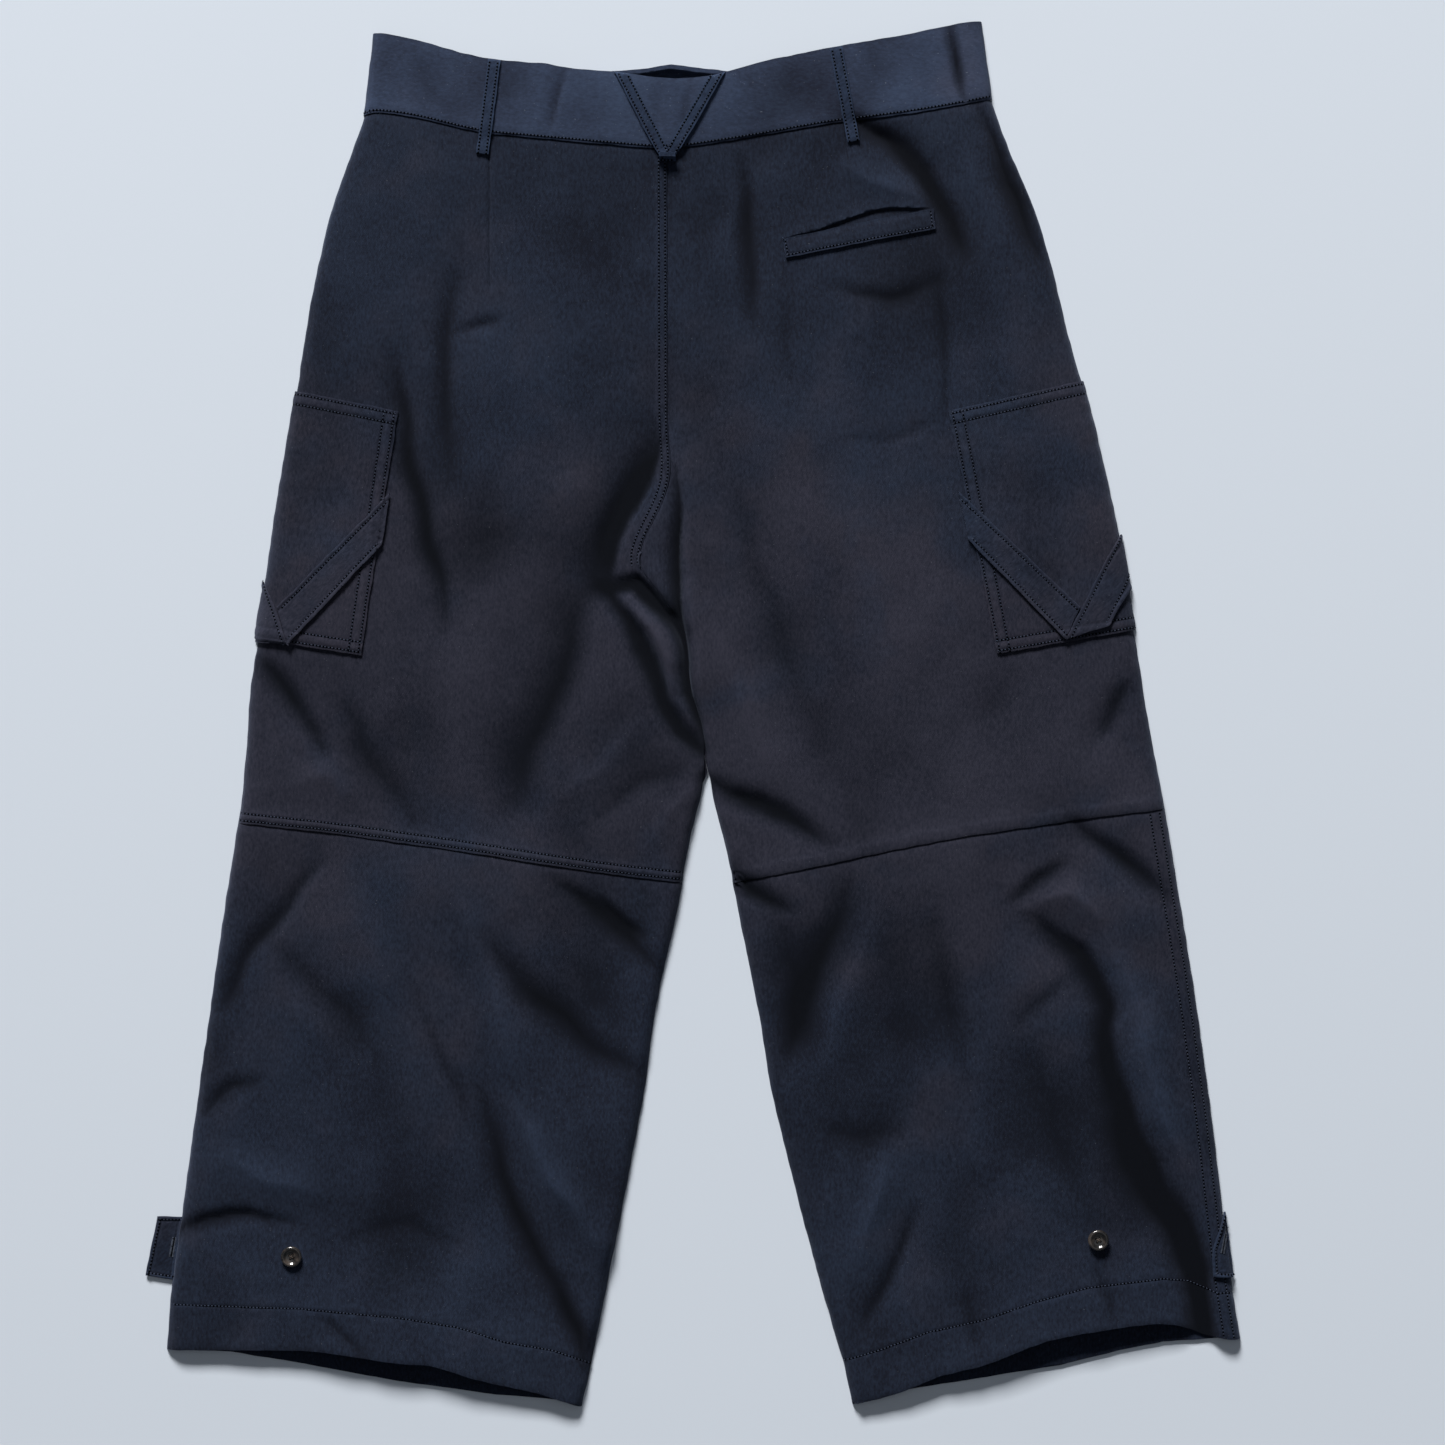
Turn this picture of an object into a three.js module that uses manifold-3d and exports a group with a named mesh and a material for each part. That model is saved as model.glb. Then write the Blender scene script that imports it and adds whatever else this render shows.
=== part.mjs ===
// Cropped wide-leg cargo trousers, laid flat on a surface with the back upward.
// Millimetres. +Z is up, +Y runs from the hems to the waist, +X is the wearer's right.
// The origin is on the surface, under the middle of the garment's box.
import * as THREE from "three";
import { mergeVertices } from "three/addons/utils/BufferGeometryUtils.js";
import Module from "manifold-3d";

const wasm = await Module();
wasm.setup();

// Cloth and make-up
const CLOTH = 1.2;
const BAND_CLOTH = 2.2;
const BAND_STEP = 1.0;
const HEM_CLOTH = 2.2;
const HEM_DEPTH = 30;
const SEAM_GAP = 0.3;
const LAP_RISE = 0.9;
const LAP_WIDTH = 8;
const STRAP_CLOTH = 1.4;
const STRAP_CLEARANCE = 0.4;
const FRONT_INSET = 1.9;
const FRONT_BAND_INSET = 2.3;

// How the back cloth lies: its plain height, the least height in a trough,
// the width of a rolled edge and the width over which troughs fade towards it.
const LAID_HEIGHT = 7.5;
const LEAST_HEIGHT = 3.1;
const EDGE_ROLL = 9;
const EDGE_FADE = 22;

// Spacing of the grid that each back piece is worked out on
const GRID_STEP = 20;
const ROWS = { upper: 26, lower: 17 };
const ROLL_SHARES = [0, 0.1, 0.4, 1];

// Ankle buttons
const BUTTON_DIAMETER = 14.2;
const BUTTON_HEIGHT = 3.4;
const BUTTON_SIDES = 28;

// Lines of the cut, [x, y], read downward or outward from the middle
const LEFT_SIDE = [
  [-236, 430.5], [-247, 400], [-260.5, 363], [-270.5, 319.5], [-278.5, 276.5],
  [-284.5, 233.5], [-292, 190], [-299, 147], [-305, 103.5], [-311.5, 60.5], [-319, 17.5],
  [-321, -26], [-325.5, -69], [-333, -112.5], [-345.5, -198.5], [-357.5, -285],
  [-369, -371.5], [-375.5, -414.5], [-378.5, -457], [-379, -500],
];
const RIGHT_SIDE = [
  [214.5, 442], [220, 427.5], [227.5, 406], [246.5, 363], [259.5, 319.5], [269, 276.5],
  [281.5, 233.5], [292, 190], [301.5, 147], [310.5, 103.5], [317.5, 60.5], [324, 17.5],
  [331.5, -26], [340, -69], [347, -112.5], [361, -198.5], [373, -285], [383, -371.5],
  [388.5, -414.5], [394, -449.5], [396, -500],
];
const LEFT_INSEAM = [
  [11, -44], [2.5, -69], [-2, -90.5], [-6.5, -112.5], [-9, -134], [-19.5, -177],
  [-28.5, -220.5], [-33.5, -263.5], [-41.5, -306.5], [-49.5, -350], [-62.5, -414.5],
  [-71, -457], [-80, -499],
];
const RIGHT_INSEAM = [
  [11, -44], [16.5, -69], [22.5, -90.5], [27.5, -112.5], [31, -134], [40, -177],
  [48.5, -220.5], [55, -263.5], [65, -306.5], [76, -350], [93, -414.5], [108, -464.5],
  [115.5, -499],
];
const BACK_SEAM = [
  [-18.5, 404.5], [-18, 197.5], [-15.5, 182], [-15.5, 168.5], [-18.5, 157.5], [-27, 141],
  [-38, 121], [-42, 106], [-27, 91], [-18, 80.5], [-9, 64], [1, 20], [6.5, -7], [11, -44],
];
const FRONT_SEAM = [[-20, 430], [-20, 200], [-16, 90], [-4, 20], [11, -44]];
const WAIST_SEAM = [
  [-236, 430.5], [-222.5, 433], [-184, 425], [-156, 417], [-102, 412], [-18, 404.5],
  [32, 412], [106.5, 425], [154.5, 430.5], [197.5, 438], [214.5, 442],
];
const BAND_TOP = [
  [-229, 489.5], [-211, 488], [-175.5, 477], [-156, 471.5], [-131.5, 468], [-98.5, 466.5],
  [-88.5, 462.5], [-53, 461], [-38, 456.5], [-15.5, 455.5], [5, 456], [23, 459.5],
  [40.5, 466], [66.5, 471.5], [98, 478], [124, 482.5], [171.5, 491], [189, 496.5], [207, 498],
];
const BAND_LEFT_END = [[-229, 489.5], [-236, 430.5]];
const BAND_RIGHT_END = [[207, 498], [214.5, 442]];
const FRONT_BAND_TOP = [
  [-225, 484], [-160, 469], [-67, 461.5], [-38, 463], [-15.5, 466.5], [2.5, 464],
  [34, 461], [100, 473], [203, 492],
];
const LEFT_KNEE = [
  [-326, -78.5], [-252.5, -86.5], [-167.5, -98.5], [-98.5, -109.5], [-54, -116], [-8, -121],
];
const RIGHT_KNEE = [
  [30, -121], [63.5, -115], [107.5, -106], [152, -96], [192.5, -88.5], [292, -74],
  [340.5, -68.5],
];
const LEFT_HEM = [
  [-378.5, -457], [-293.5, -457], [-269, -457], [-244, -461], [-211, -466.5],
  [-183.5, -467.5], [-171, -471], [-159.5, -478], [-118, -485.5], [-80, -498],
];
const LEFT_FRONT_HEM = [
  [-376, -456], [-331, -459], [-293.5, -465], [-211, -480], [-141.5, -489.5], [-100, -493],
  [-82, -496],
];
const RIGHT_HEM = [
  [115.5, -496], [135.5, -492], [153.5, -486], [177.5, -474.5], [207.5, -468.5],
  [251.5, -450], [283, -444], [316.5, -439], [343.5, -437], [357, -439], [371, -449.5],
  [394, -449.5],
];
const RIGHT_FRONT_HEM = [
  [118, -494], [153.5, -486], [224, -475], [264.5, -468.5], [304.5, -458.5], [338, -451.5],
  [391, -448],
];

// The largest folds of the back cloth: a soft ridge (rise over 0) or trough (under 0)
// from one point to another, with its own reach to the left and right of that way.
const FOLDS = [
  { name: "waist lift", from: [-110, 450], to: [90, 455], rise: 3.6, left: 60, right: 60 },
  { name: "left seat crease", from: [-24, 186], to: [-66, 98], rise: -3.6, left: 13, right: 20 },
  { name: "left seat crease back", from: [-78, 150], to: [-62, 60], rise: 2.4, left: 20, right: 16 },
  { name: "left crotch fold", from: [-58, 95], to: [-8, -8], rise: -3.8, left: 12, right: 16 },
  { name: "left crotch strip", from: [-50, 82], to: [-20, 0], rise: 1.6, left: 9, right: 12 },
  { name: "left thigh trough", from: [-74, 82], to: [-131, -76], rise: -2.6, left: 30, right: 34 },
  { name: "left thigh ridge", from: [-36, 20], to: [-60, -90], rise: 1.8, left: 24, right: 24 },
  { name: "left hip trough", from: [-210, 219], to: [-182, 82], rise: -2.4, left: 26, right: 26 },
  { name: "left hip ridge", from: [-150, 240], to: [-140, 110], rise: 1.8, left: 24, right: 30 },
  { name: "left dart hollow", from: [-175, 305], to: [-170, 205], rise: -1.7, left: 20, right: 20 },
  { name: "left dart swell", from: [-110, 330], to: [-100, 240], rise: 1.8, left: 34, right: 34 },
  { name: "left under pocket", from: [-304, 32], to: [-261, -19], rise: -2.2, left: 20, right: 20 },
  { name: "left knee fold", from: [-254, 10], to: [-211, -76], rise: -2, left: 22, right: 22 },
  { name: "left calf outer", from: [-261, -105], to: [-326, -177], rise: -2.6, left: 20, right: 26 },
  { name: "left calf cross", from: [-283, -177], to: [-225, -235], rise: -2.2, left: 20, right: 20 },
  { name: "left calf inner", from: [-139, -177], to: [-67, -249], rise: -2.8, left: 18, right: 24 },
  { name: "left inseam fold", from: [-95, -134], to: [-38, -242], rise: -2.2, left: 16, right: 20 },
  { name: "left shin ridge", from: [-103, -300], to: [-67, -379], rise: 2.6, left: 20, right: 18 },
  { name: "left shin trough", from: [-146, -285], to: [-81, -444], rise: -3, left: 20, right: 20 },
  { name: "left ankle cross", from: [-366, -368], to: [-160, -379], rise: -1.8, left: 18, right: 22 },
  { name: "left hem lift", from: [-240, -470], to: [-180, -475], rise: 3.4, left: 46, right: 46 },
  { name: "right seat trough", from: [38, 399], to: [38, 276], rise: -2, left: 22, right: 22 },
  { name: "right edge fold", from: [142, 413], to: [182, 363], rise: -2.8, left: 15, right: 20 },
  { name: "right side fold", from: [214, 420], to: [250, 334], rise: -2, left: 16, right: 16 },
  { name: "right hip ridge", from: [120, 300], to: [110, 200], rise: 1.8, left: 40, right: 34 },
  { name: "right hip trough", from: [182, 298], to: [180, 140], rise: -2, left: 24, right: 20 },
  { name: "right raised edge", from: [-8, 168], to: [2, 30], rise: 2.4, left: 12, right: 22 },
  { name: "right seat sunk", from: [-28, 176], to: [-30, 100], rise: -1.4, left: 10, right: 10 },
  { name: "right thigh upper", from: [5, 226], to: [41, 111], rise: -2.2, left: 26, right: 30 },
  { name: "right thigh lower", from: [41, 111], to: [113, -62], rise: -2.6, left: 28, right: 32 },
  { name: "right inner ridge", from: [95, 120], to: [140, -10], rise: 1.8, left: 30, right: 30 },
  { name: "right crotch cross", from: [20, -55], to: [77, -84], rise: -2, left: 18, right: 18 },
  { name: "right under pocket", from: [315, 17], to: [293, -19], rise: -2.2, left: 20, right: 20 },
  { name: "right calf outer", from: [279, -76], to: [329, -120], rise: -2.6, left: 16, right: 18 },
  { name: "right calf arc", from: [221, -127], to: [264, -98], rise: -1.6, left: 14, right: 14 },
  { name: "right calf ridge", from: [243, -122], to: [300, -140], rise: 2.2, left: 14, right: 16 },
  { name: "right shin upper", from: [257, -155], to: [295, -200], rise: -3, left: 16, right: 18 },
  { name: "right shin middle", from: [295, -200], to: [304, -264], rise: -2.8, left: 16, right: 18 },
  { name: "right shin lower", from: [304, -264], to: [366, -378], rise: -3, left: 16, right: 20 },
  { name: "right shin ridge", from: [330, -210], to: [352, -320], rise: 2.2, left: 18, right: 16 },
  { name: "right calf inner", from: [113, -134], to: [63, -242], rise: -2.2, left: 22, right: 22 },
  { name: "right shin hollow", from: [113, -306], to: [145, -312], rise: -1.8, left: 26, right: 26 },
  { name: "right ankle fold", from: [156, -357], to: [120, -436], rise: -2.4, left: 20, right: 22 },
  { name: "right hem corner", from: [361, -386], to: [366, -444], rise: -2.6, left: 15, right: 15 },
  { name: "right hem lift", from: [225, -468], to: [290, -452], rise: 3.4, left: 44, right: 44 },
];

// The right side's ankle tab lies on the leg; the left one lies on the surface,
// and the leg's edge is raised over its root.
const TAB_ROOT = { y: -384, reach: 44, ramp: 20, rise: 1.8 };

// Point at height y on a line of points that runs downward.
function xAt(line, y) {
  const steps = line.length - 1;
  for (let i = 0; i < steps; i += 1) {
    if (y >= line[i + 1][1] || i === steps - 1) {
      const share = (y - line[i][1]) / (line[i + 1][1] - line[i][1]);
      return line[i][0] + share * (line[i + 1][0] - line[i][0]);
    }
  }
  return line[steps][0];
}

// Height of a line of points that runs from left to right.
function yAt(line, x) {
  const steps = line.length - 1;
  for (let i = 0; i < steps; i += 1) {
    if (x <= line[i + 1][0] || i === steps - 1) {
      const share = (x - line[i][0]) / (line[i + 1][0] - line[i][0]);
      return line[i][1] + share * (line[i + 1][1] - line[i][1]);
    }
  }
  return line[steps][1];
}

// Height that one fold adds at a point.
function foldAt(fold, x, y) {
  const way = [fold.to[0] - fold.from[0], fold.to[1] - fold.from[1]];
  const length = Math.hypot(way[0], way[1]);
  const off = [x - fold.from[0], y - fold.from[1]];
  const along = THREE.MathUtils.clamp((off[0] * way[0] + off[1] * way[1]) / length, 0, length);
  const near = [off[0] - (way[0] * along) / length, off[1] - (way[1] * along) / length];
  const side = way[0] * off[1] - way[1] * off[0];
  const reach = side > 0 ? fold.left : fold.right;
  return fold.rise * Math.exp(-(near[0] ** 2 + near[1] ** 2) / reach ** 2);
}

// Height of the laid back cloth, away from its rolled edges.
function laidHeight(x, y, near) {
  const fade = THREE.MathUtils.smoothstep(near, EDGE_ROLL, EDGE_ROLL + EDGE_FADE);
  const full = FOLDS.reduce((sum, fold) => {
    return sum + foldAt(fold, x, y) * (fold.rise < 0 ? fade : 1);
  }, LAID_HEIGHT);
  const soft = LEAST_HEIGHT + 0.8 * Math.log(1 + Math.exp((full - LEAST_HEIGHT) / 0.8));
  return soft;
}

const CROTCH = LEFT_INSEAM[0];

// Distances from a point to the rolled side edge and to the rolled inseam.
function edgeDistances(side, x, y) {
  const band = side < 0 ? BAND_LEFT_END : BAND_RIGHT_END;
  const line = side < 0 ? LEFT_SIDE : RIGHT_SIDE;
  const outerX = y > line[0][1] ? xAt(band, y) : xAt(line, y);
  const outer = Math.max(0, (outerX - x) * side);
  const inseam = side < 0 ? LEFT_INSEAM : RIGHT_INSEAM;
  if (y > CROTCH[1]) {
    return { outer, inner: Math.hypot(x - CROTCH[0], y - CROTCH[1]) };
  }
  return { outer, inner: Math.max(0, (x - xAt(inseam, y)) * side) };
}

// A point of the back cloth's face and the way its wall stands out there.
function backPoint(side, x, y) {
  const reach = edgeDistances(side, x, y);
  const near = Math.min(reach.outer, reach.inner);
  const cosine = 1 - Math.min(near / EDGE_ROLL, 1);
  const sine = Math.sqrt(1 - cosine * cosine);
  const outward = reach.outer <= reach.inner ? side : -side;
  const tab = side < 0 && reach.outer <= reach.inner ? tabRise(y) : 0;
  const height = tab + (laidHeight(x, y, near) - tab) * sine;
  return {
    at: new THREE.Vector3(x, y, height),
    out: new THREE.Vector3(outward * cosine, 0, sine),
  };
}

function tabRise(y) {
  const past = (Math.abs(y - TAB_ROOT.y) - TAB_ROOT.reach) / TAB_ROOT.ramp;
  return TAB_ROOT.rise * (1 - THREE.MathUtils.smoothstep(past, 0, 1));
}

// Shares of a width at which a piece has its columns: close together on the
// two rolled edges, even between them.
function stepsAcross(width) {
  const start = ROLL_SHARES.map((share) => share * EDGE_ROLL);
  const end = start.map((step) => width - step).reverse();
  const flat = width - 2 * EDGE_ROLL;
  const count = Math.max(1, Math.round(flat / GRID_STEP));
  const middle = [];
  for (let i = 1; i < count; i += 1) {
    middle.push(EDGE_ROLL + (flat * i) / count);
  }
  return [...start, ...middle, ...end].map((step) => step / width);
}

// Closed body between a grid's points moved out by two distances.
// points[row][column] = { at, out }; low and high give the distance at a grid point.
function wallGeometry(points, low, high) {
  const rows = points.length;
  const columns = points[0].length;
  const position = [];
  const index = [];
  for (const distance of [high, low]) {
    points.forEach((row, j) => {
      row.forEach((point, i) => {
        const moved = point.at.clone().addScaledVector(point.out, distance(point, j, i));
        position.push(moved.x, moved.y, Math.max(0, moved.z));
      });
    });
  }
  const top = (j, i) => j * columns + i;
  const under = (j, i) => rows * columns + j * columns + i;
  const quad = (a, b, c, d) => index.push(a, b, c, a, c, d);
  for (let j = 0; j < rows - 1; j += 1) {
    for (let i = 0; i < columns - 1; i += 1) {
      quad(top(j, i), top(j + 1, i), top(j + 1, i + 1), top(j, i + 1));
      quad(under(j, i), under(j, i + 1), under(j + 1, i + 1), under(j + 1, i));
    }
  }
  for (let j = 0; j < rows - 1; j += 1) {
    quad(top(j, 0), under(j, 0), under(j + 1, 0), top(j + 1, 0));
    quad(top(j + 1, columns - 1), under(j + 1, columns - 1), under(j, columns - 1), top(j, columns - 1));
  }
  for (let i = 0; i < columns - 1; i += 1) {
    quad(top(0, i + 1), under(0, i + 1), under(0, i), top(0, i));
    quad(top(rows - 1, i), under(rows - 1, i), under(rows - 1, i + 1), top(rows - 1, i + 1));
  }
  const geometry = new THREE.BufferGeometry();
  geometry.setAttribute("position", new THREE.Float32BufferAttribute(position, 3));
  geometry.setIndex(index);
  return geometry;
}

// Plan of a back leg piece's grid: rows from the upper seam to the lower one,
// columns from left to right, and extra rows at given shares above the foot.
function panelGrid(bounds, rowCount, footRows) {
  const corners = {
    topLeft: bounds.topSpan[0],
    topRight: bounds.topSpan[1],
    footLeft: bounds.footSpan[0],
    footRight: bounds.footSpan[1],
  };
  const across = stepsAcross(corners.topRight[0] - corners.topLeft[0]);
  const down = [];
  for (let j = 0; j < rowCount; j += 1) {
    down.push((j / rowCount) * (1 - footRows[0]));
  }
  footRows.forEach((share) => down.push(1 - share));
  return down.map((v) => {
    const leftY = THREE.MathUtils.lerp(corners.topLeft[1], corners.footLeft[1], v);
    const rightY = THREE.MathUtils.lerp(corners.topRight[1], corners.footRight[1], v);
    const left = [xAt(bounds.left, leftY), leftY];
    const right = [xAt(bounds.right, rightY), rightY];
    return across.map((u) => {
      const x = THREE.MathUtils.lerp(left[0], right[0], u);
      const straight = THREE.MathUtils.lerp(left[1], right[1], u);
      const topBow = bow(bounds.top, corners.topLeft, corners.topRight, u);
      const footBow = bow(bounds.bottom, corners.footLeft, corners.footRight, u);
      const y = straight + topBow * (1 - v) + footBow * v;
      return { x, y };
    });
  });
}

// How far a seam bows up from the straight line between its ends.
function bow(line, start, end, u) {
  const x = THREE.MathUtils.lerp(start[0], end[0], u);
  return yAt(line, x) - THREE.MathUtils.lerp(start[1], end[1], u);
}

function shifted(line, dx, dy) {
  return line.map(([x, y]) => [x + dx, y + dy]);
}

const HALF_GAP = SEAM_GAP / 2;

// Bounding lines of a back leg piece, with the half gap that each seam keeps,
// and the ends of its upper and lower seam.
function legBounds(side, part) {
  const outer = side < 0 ? LEFT_SIDE : RIGHT_SIDE;
  const inseam = side < 0 ? LEFT_INSEAM : RIGHT_INSEAM;
  const knee = side < 0 ? LEFT_KNEE : RIGHT_KNEE;
  const hem = side < 0 ? LEFT_HEM : RIGHT_HEM;
  const seam = shifted(BACK_SEAM, side * HALF_GAP, 0);
  const middle = part === "upper" ? [...seam, ...inseam.slice(1)] : inseam;
  const [left, right] = side < 0 ? [outer, middle] : [middle, outer];
  const top = part === "upper" ? shifted(WAIST_SEAM, 0, -HALF_GAP) : shifted(knee, 0, -HALF_GAP);
  const bottom = part === "upper" ? shifted(knee, 0, HALF_GAP) : hem;
  const seamTop = [BACK_SEAM[0][0], yAt(top, BACK_SEAM[0][0])];
  const ends = (line, cutAtSeam) => {
    const start = cutAtSeam && side > 0 ? seamTop : line[0];
    const end = cutAtSeam && side < 0 ? seamTop : line[line.length - 1];
    const place = ([, y], edge) => [xAt(edge, y), y];
    return [place(start, left), place(end, right)];
  };
  return {
    top, bottom, left, right,
    topSpan: ends(top, part === "upper"),
    footSpan: ends(bottom, false),
  };
}

const trousers = new THREE.Group();

const CLOTH_COLOUR = 0x23262f;
const BUTTON_COLOUR = 0x1b1512;

function addPiece(name, geometry, colour = CLOTH_COLOUR, roughness = 0.92) {
  const material = new THREE.MeshStandardMaterial({ color: colour, roughness, metalness: 0 });
  const mesh = new THREE.Mesh(geometry, material);
  mesh.name = name;
  trousers.add(mesh);
  return mesh;
}

// Solid and geometry forms of a closed mesh
function toSolid(geometry) {
  const bare = geometry.clone();
  bare.deleteAttribute("normal");
  bare.deleteAttribute("uv");
  const merged = mergeVertices(bare, 1e-4);
  return new wasm.Manifold(
    new wasm.Mesh({
      numProp: 3,
      vertProperties: new Float32Array(merged.attributes.position.array),
      triVerts: new Uint32Array(merged.index.array),
    }),
  );
}

function toGeometry(solid) {
  const mesh = solid.getMesh();
  const geometry = new THREE.BufferGeometry();
  geometry.setAttribute("position", new THREE.Float32BufferAttribute(mesh.vertProperties, 3));
  geometry.setIndex(new THREE.BufferAttribute(mesh.triVerts, 1));
  return geometry;
}

// Flat piece of an outline, from one height to another
function flatPiece(outline, low, high) {
  const shape = new THREE.Shape(outline.map(([x, y]) => new THREE.Vector2(x, y)));
  const geometry = new THREE.ExtrudeGeometry(shape, { depth: high - low, bevelEnabled: false });
  return geometry.translate(0, 0, low);
}

// A piece sewn on the back cloth: the cloth's own grid moved out, cut to an outline.
const CUTTER_HEIGHT = 80;
function sewnOn(grid, outline, low, thickness) {
  const shell = toSolid(wallGeometry(grid, low, (point) => low(point) + thickness));
  const cutter = toSolid(flatPiece(outline, -1, CUTTER_HEIGHT));
  return toGeometry(shell.intersect(cutter));
}

// Back legs
const FOOT_STEPS = {
  upper: [LAP_WIDTH + 1.5, LAP_WIDTH, 0],
  lower: [HEM_DEPTH + 3, HEM_DEPTH, HEM_DEPTH / 2, 0],
};
const sideName = (side) => (side < 0 ? "left" : "right");
const backGrids = {};
for (const side of [-1, 1]) {
  for (const part of ["upper", "lower"]) {
    const bounds = legBounds(side, part);
    const inner = side < 0 ? 1 : 0;
    const length = bounds.topSpan[inner][1] - bounds.footSpan[inner][1];
    const shares = FOOT_STEPS[part].map((step) => step / length);
    const plan = panelGrid(bounds, ROWS[part], shares);
    const lapRow = part === "upper" ? plan.length - 2 : plan.length;
    const hemRow = part === "lower" ? plan.length - 3 : plan.length;
    const grid = plan.map((row, j) =>
      row.map(({ x, y }) => {
        const point = backPoint(side, x, y);
        point.at.z += j >= lapRow ? LAP_RISE * point.out.z : 0;
        return point;
      }),
    );
    const depth = (point, j) => (j >= hemRow && point.out.z > 0.999 ? -HEM_CLOTH : -CLOTH);
    const name = `back_${sideName(side)}_${part}`;
    addPiece(name, wallGeometry(grid, depth, () => 0));
    backGrids[name] = grid;
  }
}

// Front legs, flat on the surface inside the back's rolled edges
function edgeOf(name, column) {
  const grid = backGrids[name];
  return grid.map((row) => row[column < 0 ? row.length - 1 : 0].at);
}

for (const side of [-1, 1]) {
  const name = sideName(side);
  const outerColumn = side < 0 ? 0 : -1;
  const innerColumn = side < 0 ? -1 : 0;
  const hem = side < 0 ? LEFT_FRONT_HEM : [...RIGHT_FRONT_HEM].reverse();
  const inward = (at, way) => {
    const x = at.x + way * FRONT_INSET;
    return [x, Math.min(at.y, yAt(WAIST_SEAM, x) - HALF_GAP)];
  };
  const parts = [`back_${name}_upper`, `back_${name}_lower`];
  const outer = parts.flatMap((part) => edgeOf(part, outerColumn).map((at) => inward(at, -side)));
  const inner = parts.flatMap((part) => edgeOf(part, innerColumn).map((at) => inward(at, side)));
  const hemTop = Math.max(hem[0][1], hem[hem.length - 1][1]);
  const aboveHem = ([, y]) => y > hemTop + 1;
  const inseam = inner.filter((at) => aboveHem(at) && at[1] < CROTCH[1] - FRONT_INSET);
  const rise = FRONT_SEAM.filter(([, y]) => y < WAIST_SEAM[5][1] + 1 && y > CROTCH[1]);
  const middle = rise.map(([x, y]) => [x + side * HALF_GAP, y]);
  const crotch = [CROTCH[0] + side * HALF_GAP, CROTCH[1] + FRONT_INSET];
  const waistX = FRONT_SEAM[0][0] + side * HALF_GAP;
  const waist = WAIST_SEAM.filter(([x]) => (x - waistX) * side > 0 && (outer[0][0] - x) * side > 1);
  const waistLine = [...waist, [waistX, yAt(WAIST_SEAM, waistX)]]
    .sort((a, b) => (b[0] - a[0]) * side)
    .map(([x, y]) => [x, y - HALF_GAP]);
  const outline = [
    ...outer.filter((at) => aboveHem(at)),
    ...hem,
    ...inseam.reverse(),
    crotch,
    ...middle.reverse(),
    ...waistLine.reverse(),
  ];
  addPiece(`front_${name}`, flatPiece(outline, 0, CLOTH));
}

// Back waistband
const bandLeft = BAND_LEFT_END;
const bandRight = BAND_RIGHT_END;
const bandAcross = stepsAcross(bandRight[1][0] - bandLeft[1][0]);
const bandGrid = [0, 0.5, 1].map((down) =>
  bandAcross.map((u) => {
    const topX = THREE.MathUtils.lerp(bandLeft[0][0], bandRight[0][0], u);
    const seamX = THREE.MathUtils.lerp(bandLeft[1][0], bandRight[1][0], u);
    const topY = yAt(BAND_TOP, topX);
    const seamY = yAt(WAIST_SEAM, seamX) + HALF_GAP;
    const x = THREE.MathUtils.lerp(topX, seamX, down);
    const y = THREE.MathUtils.lerp(topY, seamY, down);
    return backPoint(u < 0.5 ? -1 : 1, x, y);
  }),
);
addPiece("waistband_back", wallGeometry(bandGrid, () => BAND_STEP - BAND_CLOTH, () => BAND_STEP));

// Front waistband halves, flat on the surface
for (const side of [-1, 1]) {
  const ends = side < 0 ? BAND_LEFT_END : BAND_RIGHT_END;
  const middle = FRONT_SEAM[0][0] + side * HALF_GAP;
  const outerTop = ends[0][0] - side * FRONT_BAND_INSET;
  const outerFoot = ends[1][0] - side * FRONT_BAND_INSET;
  const between = (limit) => ([x]) => (x - middle) * side > 1 && (limit - x) * side > 1;
  const top = FRONT_BAND_TOP.filter(between(outerTop));
  const foot = WAIST_SEAM.filter(between(outerFoot)).map(([x, y]) => [x, y + HALF_GAP]);
  const order = (points, way) => points.sort((a, b) => (b[0] - a[0]) * side * way);
  const outline = [
    [outerTop, yAt(FRONT_BAND_TOP, outerTop)],
    ...order(top, 1),
    [middle, yAt(FRONT_BAND_TOP, middle)],
    [middle, yAt(WAIST_SEAM, middle) + HALF_GAP],
    ...order(foot, -1),
    [outerFoot, yAt(WAIST_SEAM, outerFoot) + HALF_GAP],
  ];
  addPiece(`waistband_front_${sideName(side)}`, flatPiece(outline, 0, BAND_CLOTH));
}

// Belt loops: narrow strips over the back waistband, sewn down below its seam
const LOOP_STEP = 9;
const SEAM_RAMP = 5;
function bandRise(x, y) {
  const above = THREE.MathUtils.smoothstep(y - yAt(WAIST_SEAM, x), -SEAM_RAMP, 0);
  return BAND_STEP * above;
}

function beltStrip(from, to, width, low) {
  const way = new THREE.Vector2(to[0] - from[0], to[1] - from[1]);
  const count = Math.round(way.length() / LOOP_STEP);
  const across = new THREE.Vector2(-way.y, way.x).normalize();
  const grid = [];
  for (let j = 0; j <= count; j += 1) {
    const row = [-0.5, 0, 0.5].map((share) => {
      const x = from[0] + (way.x * j) / count + across.x * width * share;
      const y = from[1] + (way.y * j) / count + across.y * width * share;
      const point = backPoint(x < 0 ? -1 : 1, x, y);
      point.rise = bandRise(x, y);
      return point;
    });
    grid.push(row);
  }
  const bottom = (point) => point.rise + low;
  return wallGeometry(grid, bottom, (point) => bottom(point) + STRAP_CLOTH);
}

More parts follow.
